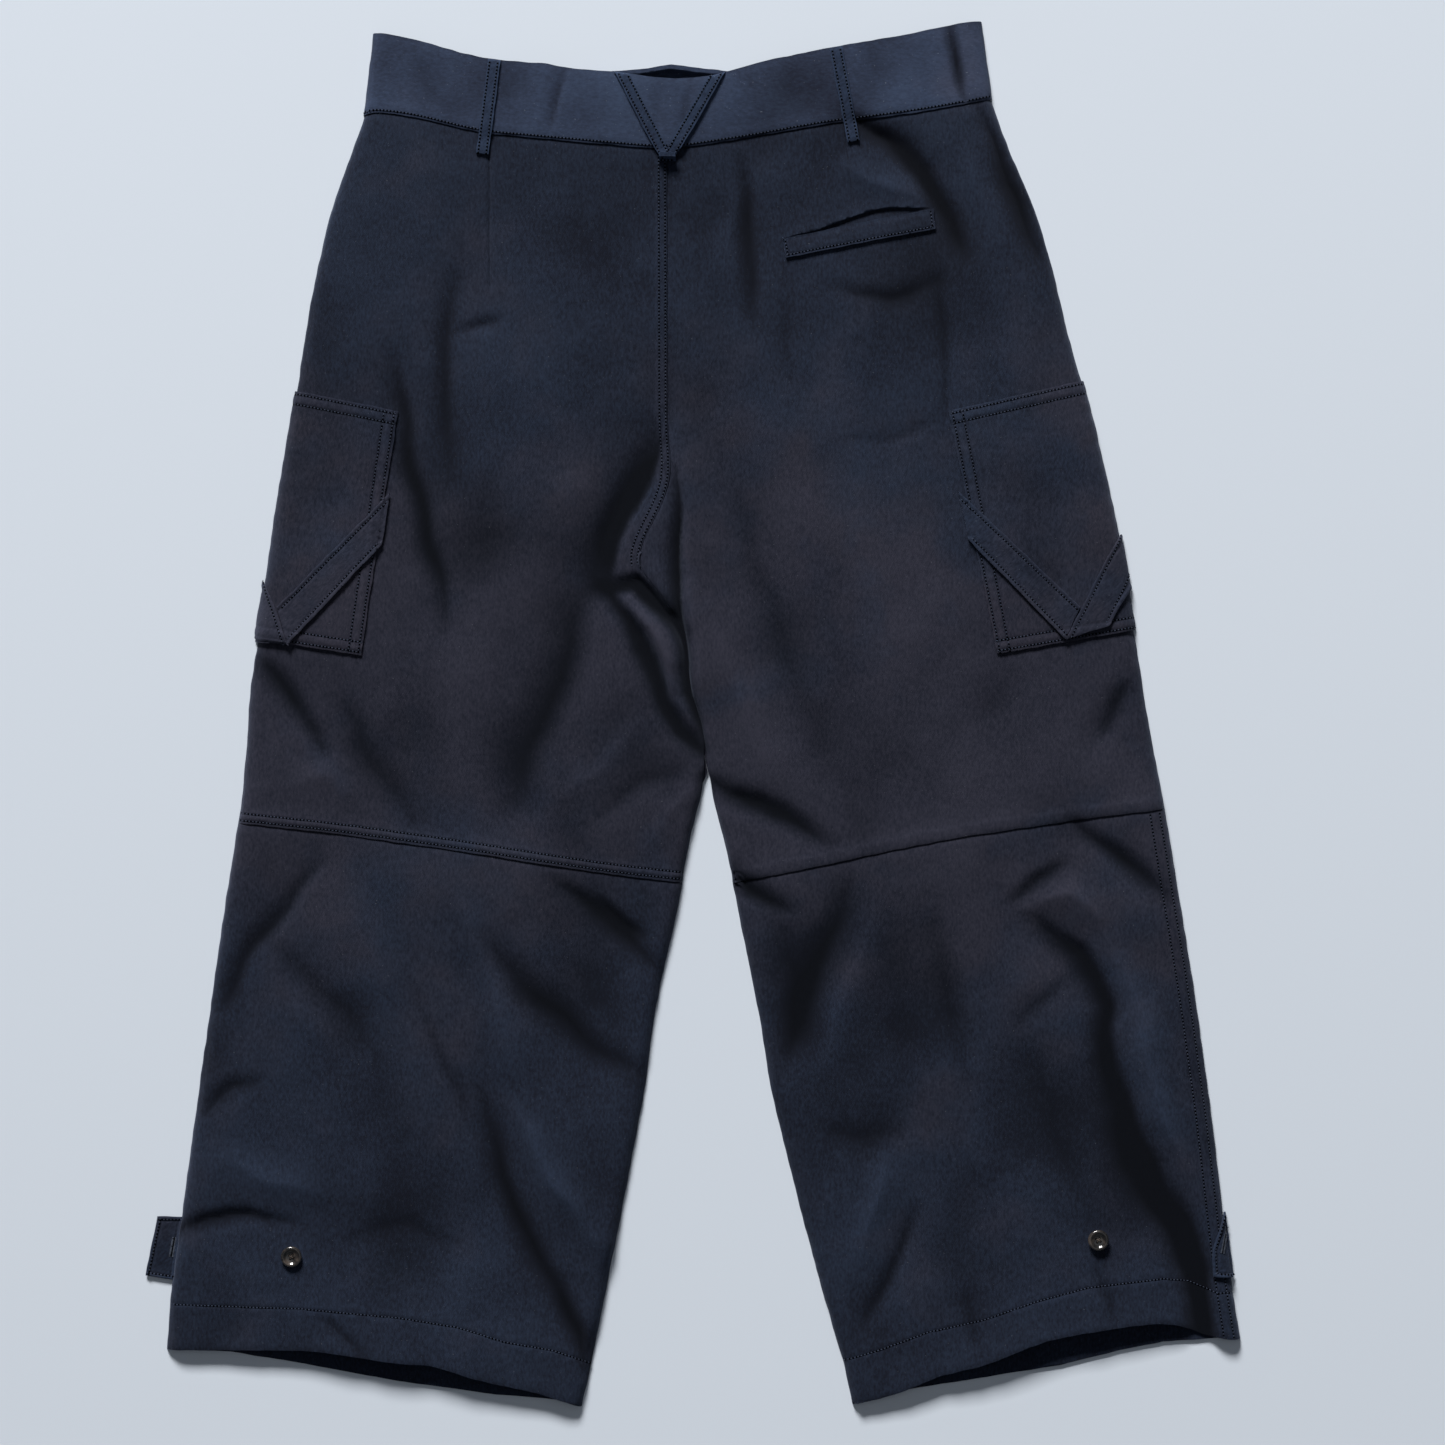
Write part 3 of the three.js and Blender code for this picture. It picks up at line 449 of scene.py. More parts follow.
def upper_faces(node, least):
    """The faces of a CAD piece that look up by at least a share, as an open sheet."""
    sheet = bmesh.new()
    sheet.from_mesh(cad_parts[node].data)
    bmesh.ops.remove_doubles(sheet, verts=sheet.verts, dist=MERGE)
    sheet.normal_update()
    hidden = [face for face in sheet.faces if face.normal.z < least]
    bmesh.ops.delete(sheet, geom=hidden, context="FACES")
    return sheet


def outer_face(node):
    """The outer face of a CAD cloth piece, as an open sheet of squares."""
    sheet = upper_faces(node, OUTER_LEAST)
    bmesh.ops.join_triangles(
        sheet, faces=sheet.faces, angle_face_threshold=1.2, angle_shape_threshold=1.4
    )
    return sheet


def face_up(sheet):
    """Turns the faces of a laid sheet that look down."""
    sheet.normal_update()
    turned = [face for face in sheet.faces if face.normal.z < 0]
    bmesh.ops.reverse_faces(sheet, faces=turned)


def with_modifier(mesh, kind, **settings):
    """A mesh with one modifier worked into it."""
    holder = link(mesh.name, mesh)
    modifier = holder.modifiers.new(kind, kind)
    for key, value in settings.items():
        setattr(modifier, key, value)
    shown = holder.evaluated_get(bpy.context.evaluated_depsgraph_get())
    result = bpy.data.meshes.new_from_object(shown)
    result.name = mesh.name
    bpy.data.objects.remove(holder)
    return result


def smoothed(mesh, levels):
    return with_modifier(
        mesh, "SUBSURF", levels=levels, render_levels=levels, boundary_smooth="PRESERVE_CORNERS"
    )


def places(mesh):
    flat = np.empty(len(mesh.vertices) * 3)
    mesh.vertices.foreach_get("co", flat)
    return flat.reshape(-1, 3)


def facing(mesh):
    flat = np.empty(len(mesh.vertices) * 3)
    mesh.vertex_normals.foreach_get("vector", flat)
    return flat.reshape(-1, 3)


def move_to(mesh, where):
    """Puts all the places of a mesh somewhere else."""
    mesh.vertices.foreach_set("co", where.ravel())
    mesh.update()


def soft_step(value, low, high):
    share = np.clip((value - low) / (high - low), 0, 1)
    return share * share * (3 - 2 * share)


def hill(far, middle, width):
    """A round hill of height 1 at a distance, with a width."""
    return np.exp(-(((far - middle) / width) ** 2))


def in_metres(line):
    return np.asarray(line, float) * MM


def beside(plan, line):
    """Distance to a line of plan places, the side of it and the share of its length."""
    line = np.asarray(line, float)
    steps = np.hypot(*(line[1:] - line[:-1]).T)
    best = np.full(len(plan), 1e9)
    side = np.zeros(len(plan))
    share = np.zeros(len(plan))
    gone = 0.0
    for start, end, step in zip(line[:-1], line[1:], steps):
        way = (end - start) / step
        off = plan - start
        along = np.clip(off @ way, 0, step)
        gap = off - along[:, None] * way
        far = np.hypot(gap[:, 0], gap[:, 1])
        nearer = far < best
        best[nearer] = far[nearer]
        side[nearer] = (way[0] * off[:, 1] - way[1] * off[:, 0])[nearer]
        share[nearer] = (gone + along[nearer]) / steps.sum()
        gone += step
    return best, side, share


def soft_noise(plan, across, along, layer):
    """Smooth noise at plan places, with its waves a metre across and along."""
    return np.array([noise.noise(Vector((x * across, y * along, layer))) for x, y in plan])


def shifts(plan, waves, layers):
    """Smooth plan shifts of up to 1, one layer of noise for each direction."""
    return np.column_stack([soft_noise(plan, waves, waves, layer) for layer in layers])


def wobble(plan):
    """Small plan shifts that keep edges and seams from being ruler straight."""
    return shifts(plan, WOBBLE_WAVES, (2.2, 8.8)) * EDGE_WOBBLE


def crease_relief(plan):
    """What the creases add at plan places, in metres."""
    total = np.zeros(len(plan))
    bent = plan + shifts(plan, DRIFT_WAVES, (3.3, 6.6)) * CREASE_DRIFT + wobble(plan) * 2
    for _, depth, left, right, line in CREASES:
        far, side, share = beside(bent, in_metres(line))
        reach = np.where(side > 0, left, right) * MM
        form = ROUND_SHARE * hill(far, 0, reach) + SHARP_SHARE * np.exp(-SHARP_FALL * far / reach)
        ends = np.sin(np.pi * (0.05 + 0.9 * share)) ** 0.8
        total += CREASE_GAIN * depth * MM * form * ends
    return total


def crumple_relief(plan):
    """The cloth's own soft unevenness at plan places, in metres."""
    total = np.zeros(len(plan))
    for layer, (_, across, along, height) in enumerate(CRUMPLE):
        waves = [
            noise.noise(Vector((x * across, y * along, 3.7 * layer + 0.4 * y * across)))
            for x, y in plan
        ]
        total += np.asarray(waves) * height
    return total


def edge_line(mesh):
    """Places along the free edge of a sheet, leaving out what lies on the floor."""
    sheet = bmesh.new()
    sheet.from_mesh(mesh)
    points = []
    for edge in sheet.edges:
        if edge.is_boundary:
            start, end = (vert.co for vert in edge.verts)
            if min(start.z, end.z) > OFF_FLOOR:
                points += [start.lerp(end, share / 4) for share in range(4)]
    sheet.free()
    return points


def distance_to(points, mesh):
    """How far each of a mesh's places is from the nearest of some points."""
    tree = kdtree.KDTree(len(points))
    for number, point in enumerate(points):
        tree.insert(point, number)
    tree.balance()
    return np.array([tree.find(vert.co)[2] for vert in mesh.vertices])


def press(mesh, extra, worn=0.0):
    """Moves a sheet by its creases and unevenness, and keeps their height to paint its colour:
    painted shade in its folds, paler where it stands proud.
    """
    where = places(mesh)
    out = facing(mesh)
    flatness = soft_step(out[:, 2], STEEP, LEVEL)
    shaped = crease_relief(where[:, :2]) + crumple_relief(where[:, :2]) + extra
    moved = where + out * (shaped * flatness)[:, None]
    lowest = np.minimum(where[:, 2], LOWEST_CLOTH)
    over = (moved[:, 2] - lowest) / SOFT_STOP
    eased_over = np.log1p(np.exp(np.minimum(over, WELL_OVER)))
    soft = lowest + SOFT_STOP * np.where(over > WELL_OVER, over, eased_over)
    moved[:, 2] = np.where(flatness > FULLY_LEVEL, soft, np.maximum(moved[:, 2], lowest))
    move_to(mesh, moved)
    add_shade_and_wear(mesh, np.clip(shaped / FULL_RELIEF, -1, 1) + worn)


def add_shade_and_wear(mesh, amount):
    """Adds to a sheet's record of height and wear, which paints its colour: painted shade in its
    folds and dips, paler on what stands proud and on its worn edges.
    """
    kept = mesh.attributes.get("relief") or mesh.attributes.new("relief", "FLOAT", "POINT")
    values = np.empty(len(mesh.vertices))
    kept.data.foreach_get("value", values)
    kept.data.foreach_set("value", np.clip(values + amount, -1, 1))


SHEETS = {}


def keep_surface(name, mesh):
    """Keeps a sheet's shape, so that what lies on it can be dropped on it."""
    faces = [tuple(face.vertices) for face in mesh.polygons]
    tree = BVHTree.FromPolygons([vert.co.copy() for vert in mesh.vertices], faces)
    SHEETS[name] = (mesh, tree)


def sew_piece(name, mesh, thickness, material=TWILL):
    """A finished piece: its sheet with a wall's thickness and its finish, shown in place of its CAD
    part.
    """
    keep_surface(name, mesh)
    wall = with_modifier(mesh, "SOLIDIFY", thickness=thickness, offset=-1.0)
    settled = places(wall)
    settled[:, 2] = np.maximum(settled[:, 2], 0)
    settled[:, :2] += wobble(settled[:, :2])
    move_to(wall, settled)
    wall.name = f"{name}_cloth"
    wall.materials.clear()
    wall.materials.append(material)
    for face in wall.polygons:
        face.use_smooth = True
        face.material_index = 0
    wall.set_sharp_from_angle(angle=SHARP_FOLD)
    piece = link(f"{name}_cloth", wall)
    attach(piece, "root")
    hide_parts(name)


def side_runs(mesh):
    """The four sides of a sheet between its corners: top, foot, left and right lines."""
    sheet = bmesh.new()
    sheet.from_mesh(mesh)
    border = {vert for edge in sheet.edges if edge.is_boundary for vert in edge.verts}
    corners = [vert for vert in border if len(vert.link_edges) == 2]
    runs = []
    for corner in corners:
        for edge in corner.link_edges:
            line = [corner.co.copy()]
            before, here = corner, edge.other_vert(corner)
            while here not in corners:
                line.append(here.co.copy())
                ahead = [e.other_vert(here) for e in here.link_edges if e.is_boundary]
                before, here = here, next(vert for vert in ahead if vert is not before)
            line.append(here.co.copy())
            runs.append(line)
    sheet.free()
    middle = [sum(line, Vector()) / len(line) for line in runs]
    pick = {
        "top": max(range(len(runs)), key=lambda i: middle[i].y),
        "foot": min(range(len(runs)), key=lambda i: middle[i].y),
        "left": min(range(len(runs)), key=lambda i: middle[i].x),
        "right": max(range(len(runs)), key=lambda i: middle[i].x),
    }
    lines = {}
    for side, number in pick.items():
        axis = 0 if side in ("top", "foot") else 1
        lines[side] = sorted(((p.x, p.y) for p in runs[number]), key=lambda p: p[axis])
    return lines


SCORE_END = 1.5 * MM
SCORE_REACH = 4.0 * MM


def score(mesh, line, gaps):
    """Cuts a sheet's squares along a plan line and beside it, so that it can bend sharply."""
    sheet = bmesh.new()
    sheet.from_mesh(mesh)
    points = [Vector(point) for point in in_metres(line)]
    for start, end in zip(points, points[1:]):
        way = (end - start).normalized()
        out = Vector((-way.y, way.x))
        for gap in gaps:
            near = []
            for face in sheet.faces:
                off = face.calc_center_median().to_2d() - start
                beyond = max(-off.dot(way), off.dot(way) - (end - start).length)
                if beyond < SCORE_END and abs(off.dot(out) - gap * MM) < SCORE_REACH:
                    near.append(face)
            geom = {part for face in near for part in (face, *face.verts, *face.edges)}
            place = (start + out * gap * MM).to_3d()
            bmesh.ops.bisect_plane(sheet, geom=list(geom), plane_co=place, plane_no=out.to_3d())
    sheet.to_mesh(mesh)
    sheet.free()


# Sewn rows pull the cloth in and leave small puckers between them.
PUCKER = 8.5 * MM
PUCKER_DRIFT = 1.9
SLOW_PUCKER = 5.3
PUCKER_HEIGHT = 0.10 * MM
ROW_DIP = 0.28 * MM
ROW_WIDTH = 0.9 * MM
HEM_ROWS = {
    "left": [
        (-374, -424), (-319, -426), (-281, -427), (-244, -430.5), (-211, -433.5), (-201, -435),
        (-169, -440), (-136, -450.5), (-100, -457), (-72.5, -467),
    ],
    "right": [
        (108, -464.5), (135.5, -456.5), (169, -444), (207.5, -435.5), (246, -422), (283, -412),
        (316, -408), (338, -405.5), (356.5, -407.5), (377, -416), (387.5, -415.5),
    ],
}


def row_relief(plan, line, rows, between):
    """Sewn rows along a line: a dip at each row and a puckered swell between them."""
    line = np.asarray(line)
    length = np.hypot(*(line[1:] - line[:-1]).T).sum()
    far, _, share = beside(plan, line)
    along = share * length
    drift = PUCKER_DRIFT * np.sin(along * math.tau / (SLOW_PUCKER * PUCKER))
    waves = np.sin(along * math.tau / PUCKER + drift)
    total = np.zeros(len(plan))
    for row in rows:
        total -= ROW_DIP * hill(far, row * MM, ROW_WIDTH)
    for middle, width, height in between:
        swell = hill(far, middle * MM, width * MM)
        total += swell * (height * MM + PUCKER_HEIGHT * waves)
    return total


def row_shade_and_wear(far, rows, middle):
    """Wear and painted shade beside sewn rows: paler on the swell between them, and painted shade
    dark along each row.
    """
    worn = 0.25 * hill(far, middle * MM, 2.2 * MM)
    for row in rows:
        worn -= 0.40 * hill(far, row * MM, ROW_WIDTH)
    return worn


# The darts below the back waistband and the mouth of the welt pocket, whose upper lip
# gapes over the welt.
DARTS = {
    "back_left_upper": [(-146, 404), (-146, 352), (-145.5, 305.5)],
    "back_right_upper": [(109.5, 415), (113, 386), (116, 366)],
}
DART_DIP = 0.9 * MM
DART_WIDTH = 0.7 * MM
DART_GAPS = (-0.9, -0.35, 0.35, 0.9)
MOUTH = [(65.5, 341.5), (90, 347.5), (115.5, 357), (133, 362.5), (150, 363.5), (172, 363.5)]
MOUTH_GAPS = (-0.9, -0.3, 0.3)
MOUTH_DROP = 1.1 * MM
LIP_SWELL = 0.5 * MM
# Where the right leg's cloth lies folded over beside the crotch
FOLD_EDGE = [(-11, 150), (-9, 96), (-4, 56)]
FOLD_GAPS = (-1.2, 0.0, 1.2)


def mouth_relief(plan):
    """The welt pocket's upper lip standing over its sunken facing."""
    far, side, share = beside(plan, in_metres(MOUTH))
    ends = np.clip(np.sin(np.pi * np.clip(share, 0, 1)) * 2.5, 0, 1)
    below = side < 0
    drop = -MOUTH_DROP * np.where(below, hill(far, 0, 8 * MM), 0)
    swell = LIP_SWELL * np.where(below, 0, hill(far, 0, 5 * MM))
    return (drop + swell) * ends


RUNS = {}
FELL_WIDTH = 7.6 * MM
FELL_RISE = 0.75 * MM
FELL_FOOT = 0.186
SEAM_WEAR = 0.45
SEAM_REACH = 1.6 * MM
EDGE_ROLL = 0.45 * MM
# Rows of stitches, in millimetres from an edge, and the swell between two: middle, width, height
KNEE_ROWS = (2.2, 7.2)
KNEE_SWELL = (4.7, 2.2, 0.25)
HEM_SWELL = (3.5, 2.6, 0.10)
BACKS = (
    ("back_left_upper", (0.345, 0.555), 0.153, ["front_left"]),
    ("back_left_lower", (0.350, 0.420), 0.124, ["front_left"]),
    ("back_right_upper", (0.375, 0.565), 0.163, ["front_right"]),
    ("back_right_lower", (0.350, 0.425), 0.122, ["front_right"]),
)
for name, flat, area, rests_on in BACKS:
    panel = smoothed(take_mesh(outer_face(name), name), SMOOTH_LEVELS)
    RUNS[name] = side_runs(panel)
    if name in DARTS:
        score(panel, DARTS[name], DART_GAPS)
    if name == "back_right_upper":
        score(panel, MOUTH, MOUTH_GAPS)
        score(panel, FOLD_EDGE, FOLD_GAPS)
    plan = places(panel)[:, :2]
    # The rolled edges sink, and through the recorded height their colour is painted darker: painted
    # shade along the seams
    rise = -EDGE_ROLL * np.exp(-distance_to(edge_line(panel), panel) / SEAM_REACH)
    if name in DARTS:
        far, _, _ = beside(plan, in_metres(DARTS[name]))
        rise -= DART_DIP * hill(far, 0, DART_WIDTH)
    if name == "back_right_upper":
        rise += mouth_relief(plan)
    worn = np.zeros(len(plan))
    if name.endswith("upper"):
        rise += row_relief(plan, RUNS[name]["foot"], KNEE_ROWS, (KNEE_SWELL,))
        far, _, _ = beside(plan, RUNS[name]["foot"])
        worn += SEAM_WEAR * np.exp(-far / SEAM_REACH) + row_shade_and_wear(far, KNEE_ROWS, KNEE_SWELL[0])
    else:
        hem = in_metres(HEM_ROWS["left" if "left" in name else "right"])
        rise += row_relief(plan, hem, (0,), (HEM_SWELL,))
    if name == "back_left_upper":
        far, _, _ = beside(plan, RUNS[name]["right"])
        fell = soft_step(-far, -FELL_WIDTH - 1.5 * MM, -FELL_WIDTH + 1.0 * MM)
        rise += FELL_RISE * fell * soft_step(plan[:, 1], FELL_FOOT, FELL_FOOT + 0.02)
    press(panel, rise, worn)
    sew_piece(name, panel, CLOTH)


# The back waistband
# A double band stitched on the body's top edge with one row of topstitching. Its middle
# dips, and its right end rolls in over the front half.
BAND_CLOTH = 2.2 * MM
BAND_ROLL = 0.6 * MM
BAND_REACH = 1.4 * MM
BAND_SWELL = 0.22 * MM
band = smoothed(take_mesh(outer_face("waistband_back"), "waistband_back"), SMOOTH_LEVELS)
RUNS["waistband_back"] = side_runs(band)
band_plan = places(band)[:, :2]
band_rise = -BAND_ROLL * np.exp(-distance_to(edge_line(band), band) / BAND_REACH)
band_far, _, _ = beside(band_plan, RUNS["waistband_back"]["foot"])
band_rise += BAND_SWELL * hill(band_far, 4.5 * MM, 2.5 * MM)
press(band, band_rise)
sew_piece(
    "waistband_back", band, BAND_CLOTH,
    TWILL_BAND,
)


# The fronts and the front waistband
# The front lies flat under the back, so only its hems and the inside of its waistband
# show from above. From below it has its fly stitching, middle seam and hems.
FRONT_CELL = 9 * MM
BAND_CELL = 1.8 * MM
LOOKING_UP = 0.5
FRONT_LIFT = 0.3 * MM
FRONT_WAVE = 0.22 * MM
SEAM_CLOSED = 0.3 * MM
LIP_RISE = 5.2 * MM
LIP_FALL = (3.2 * MM, 4.6 * MM)
LIP_CUTS = (-3.1, -3.5, -4.6)
FRONT_LIP = [
    (-72, 461.5), (-55, 462), (-38, 463), (-26, 465), (-15.5, 466.5), (2.5, 464), (34, 461),
    (48, 463),
]


def outline_distance(mesh):
    """How far each place of a sheet is from its outline."""
    sheet = bmesh.new()
    sheet.from_mesh(mesh)
    points = [vert.co.copy() for vert in sheet.verts if vert.is_boundary]
    sheet.free()
    return distance_to(points, mesh)


def flat_face(node, cell):
    """The upper face of a flat CAD piece, laid at height 0 and cut into small squares."""
    sheet = upper_faces(node, LOOKING_UP)
    bmesh.ops.scale(sheet, verts=sheet.verts, vec=(1, 1, 0))
    bmesh.ops.dissolve_faces(sheet, faces=sheet.faces)
    low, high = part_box(node)
    for axis in (0, 1):
        normal = Vector((1 - axis, axis, 0))
        for step in range(math.ceil(low[axis] / cell), math.floor(high[axis] / cell) + 1):
            everything = sheet.verts[:] + sheet.edges[:] + sheet.faces[:]
            place = normal * step * cell
            bmesh.ops.bisect_plane(sheet, geom=everything, plane_co=place, plane_no=normal)
    face_up(sheet)
    return take_mesh(sheet, node)


def lay_flat(name, thickness, cell, material, lip=(), edged=False):
    """A flat piece just above the floor, with a faint unevenness on its upper face."""
    mesh = flat_face(name, cell)
    if lip:
        score(mesh, lip, LIP_CUTS)
    where = places(mesh)
    # The left half of the front band meets the right one at its middle seam.
    if name == "waistband_front_left":
        middle = where[:, 0].max()
        where[where[:, 0] > middle - MERGE, 0] += SEAM_CLOSED
    waves = soft_noise(where[:, :2], 22, 16, 5.1)
    inner = soft_step(outline_distance(mesh), 0, 12 * MM)
    where[:, 2] = FRONT_LIFT + thickness + FRONT_WAVE * waves * inner
    if lip:
        far, _, share = beside(where[:, :2], in_metres(lip))
        rise = soft_step(-far, -LIP_FALL[1], -LIP_FALL[0]) * np.sin(np.pi * share) ** 0.6
        where[:, 2] += LIP_RISE * rise
    shape = tab_relief(outline_distance(mesh)) if edged else np.zeros(len(where))
    where[:, 2] += shape
    # The tab's shape paints its colour: painted shade along its sewn row and thinner middle, paler
    # on its thick edge
    add_shade_and_wear(mesh, shape / MM)
    move_to(mesh, where)
    sew_piece(name, mesh, thickness, material)


lay_flat("front_left", CLOTH, FRONT_CELL, TWILL)
lay_flat("front_right", CLOTH, FRONT_CELL, TWILL)
for side, flat, area in (("left", (0.214, 0.062), 0.0115), ("right", (0.232, 0.062), 0.0125)):
    name = f"waistband_front_{side}"
    lay_flat(name, BAND_CLOTH, BAND_CELL, TWILL_BAND, lip=FRONT_LIP)


# Belt loops and the crossed loop at the middle of the back
# Narrow folded strips of twill, stitched along their edges, tucked over the waistband's
# top edge and turned under and tacked below its seam.
STRIP_CLOTH = 1.4 * MM
STRIP_CLEARANCE = 0.35 * MM
STRIP_CELLS = 8
STRIP_ROW = 1.5 * MM
TOP_TUCK = 4.0 * MM
TOP_LIP = 0.8 * MM
TOP_SLOPE = 1.3
TUCK_DROP = 0.6 * MM
TURN_REACH = 3.0 * MM
TURN_DROP = 0.4 * MM
RIPPLE = 0.05 * MM
RIPPLE_LENGTH = 1.5 * MM
LEVEL_REACH = 12 * MM
STRIP_CROWN = 0.16 * MM
STRIP_WEAR = 0.4
END_TAPER = 0.28
LEAST_FLAT = 0.0101


def ground_at(x, y, names):
    """The highest place and its normal on the named sheets under a plan place."""
    best = None
    for name in names:
        place, normal, _, _ = SHEETS[name][1].ray_cast(Vector((x, y, 0.1)), Vector((0, 0, -1)))
        if place is not None and (best is None or place.z > best[0].z):
            best = (place, normal if normal.z > 0 else -normal)
    return best


def eased(values, reach):
    """A row of values evened out over a number of neighbours."""
    window = np.hanning(2 * reach + 3)[1:-1]
    padded = np.concatenate((np.full(reach, values[0]), values, np.full(reach, values[-1])))
    return np.convolve(padded, window / window.sum(), "valid")


def strip(name, start, end, width, names, bow, level, tucked):
    """A narrow strip laid over the band from its top edge to below its seam."""
    start, end = Vector(start) * MM, Vector(end) * MM
    way = end - start
    rows = max(6, round(way.length / STRIP_ROW))
    across = Vector((-way.y, way.x)).normalized()
    under = []
    for row in range(rows + 1):
        middle = start + way * row / rows
        spots = [middle + across * width * share for share in (-0.45, 0, 0.45)]
        found = [ground_at(spot.x, spot.y, names) for spot in spots]
        heights = [hit[0].z for hit in found if hit]
        under.append(max(heights) if heights else None)
    known = [height for height in under if height is not None]
    under = [known[0] if height is None else height for height in under]
    line = np.maximum(eased(np.array(under), 3), np.array(under) - 0.5 * MM)
    top_x, top_y = zip(*RUNS["waistband_back"]["top"])
    sheet = bmesh.new()
    edge_wear = []
    bmesh.ops.create_grid(sheet, x_segments=STRIP_CELLS, y_segments=rows, size=0.5)
    for vert in sheet.verts:
        share, side = vert.co.y + 0.5, vert.co.x
        gone = share * way.length
        bend = bow * math.sin(math.pi * share)
        near_end = max(0.0, 1 - min(share, 1 - share) * way.length / LEVEL_REACH)
        breadth = width * (1 - END_TAPER * level * near_end * (share > 0.5))
        slide = -across.y / way.y * level * near_end * breadth * side
        spot = start + way * (share + slide) + across * (breadth * side + bend)
        rise = STRIP_CLEARANCE + STRIP_CLOTH + STRIP_CROWN * math.cos(math.pi * side)
        tuck = max(0.0, 1 - gone / TOP_TUCK) * tucked
        turn = max(0.0, 1 - (way.length - gone) / TURN_REACH)
        rise -= TUCK_DROP * tuck**2 + TURN_DROP * turn**2
        rise += RIPPLE * math.sin(gone / RIPPLE_LENGTH + 3 * side)
        over = spot.y - (float(np.interp(spot.x, top_x, top_y)) - TOP_LIP)
        if over > 0:
            spot.y += TOP_LIP * (1 - math.exp(-over / TOP_LIP)) - over
            rise -= TOP_SLOPE * over
        ground = float(np.interp(share * rows, range(rows + 1), line))
        vert.co = (spot.x, spot.y, ground + rise)
        edge_wear.append(STRIP_WEAR * (2 * abs(side)) ** 6)
    face_up(sheet)
    mesh = take_mesh(sheet, name)
    add_shade_and_wear(mesh, np.array(edge_wear))
    sew_piece(name, mesh, STRIP_CLOTH, TWILL_LOOP)


BAND_GROUND = ["back_left_upper", "back_right_upper", "waistband_back"]
# Name, upper and lower end, width and bow in millimetres, and the strip that it also lies on
STRIPS = (
    ("belt_loop_left", (-141.7, 474), (-151, 402), 9.0, 0.3, []),
    ("belt_loop_right", (101.6, 482.5), (115.5, 411), 9.0, -0.3, []),
    ("back_loop_strap_right", (20.2, 463.5), (-17.8, 398.4), 8.6, 0.4, []),
    ("back_loop_strap_left", (-54, 466), (-18.8, 398.4), 8.6, -0.4, ["back_loop_strap_right"]),
    ("back_loop_end", (-18.2, 402.6), (-18.2, 396.2), 12.0, 0.0, ["back_loop_strap_left"]),
)
for name, start, end, width, bow, lower in STRIPS:
    size = (max(LEAST_FLAT, width * MM), max(LEAST_FLAT, math.dist(start, end) * MM))
    level = 1.0 if name.startswith("back_loop_strap") else 0.0
    tucked = name != "back_loop_end"
    ground = BAND_GROUND + lower
    strip(name, start, end, width * MM, ground, bow * MM, level, tucked)


# The welt pocket
# A folded strip of twill stitched over the lower lip of a slit in the right back. The upper
# lip gapes a little above it, so that the mouth shows as a dark line.
def plan_corners(node):
    """The convex outline of a CAD piece in plan."""
    points = [vert.co.to_2d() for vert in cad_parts[node].data.vertices]
    return [points[number] for number in geometry.convex_hull_2d(points)]


def cut_from(source, name, corners, finer=1):
    """The stretch of a kept sheet that lies inside a convex outline, in smaller squares."""
    middle = sum(corners, Vector((0, 0))) / len(corners)
    planes = []
    for start, end in zip(corners, corners[1:] + corners[:1]):
        way = end - start
        if way.length > 0.5 * MM:
            out = Vector((way.y, -way.x)).normalized()
            out = -out if out.dot(middle - start) > 0 else out
            planes.append((start.to_3d(), out.to_3d()))
    sheet = bmesh.new()
    sheet.from_mesh(SHEETS[source][0])
    far = [
        face for face in sheet.faces
        if any((face.calc_center_median() - start).dot(out) > 5 * MM for start, out in planes)
    ]
    bmesh.ops.delete(sheet, geom=far, context="FACES")
    bmesh.ops.subdivide_edges(sheet, edges=sheet.edges, cuts=finer, use_grid_fill=True)
    for start, out in planes:
        everything = sheet.verts[:] + sheet.edges[:] + sheet.faces[:]
        bmesh.ops.bisect_plane(
            sheet, geom=everything, plane_co=start, plane_no=out, clear_outer=True
        )
    return take_mesh(sheet, name)


def raise_sheet(mesh, lift):
    """Moves a cut sheet out by a height of its own at each place."""
    move_to(mesh, places(mesh) + facing(mesh) * lift[:, None])


WELT_CLOTH = 1.4 * MM
SEAM_GAP = 0.3 * MM
WELT_ROW = 1.7
welt = cut_from("back_right_upper", "welt_right", plan_corners("welt_right"))
welt_far = outline_distance(welt)
welt_lift = SEAM_GAP + WELT_CLOTH + 0.2 * MM * soft_step(welt_far, 0, 3 * MM)
raise_sheet(welt, welt_lift - 0.35 * MM * hill(welt_far, WELT_ROW * MM, 0.8 * MM))
add_shade_and_wear(welt, 0.30 * np.exp(-welt_far / (1.2 * MM)))
sew_piece(
    "welt_right", welt, WELT_CLOTH, TWILL_WELT
)


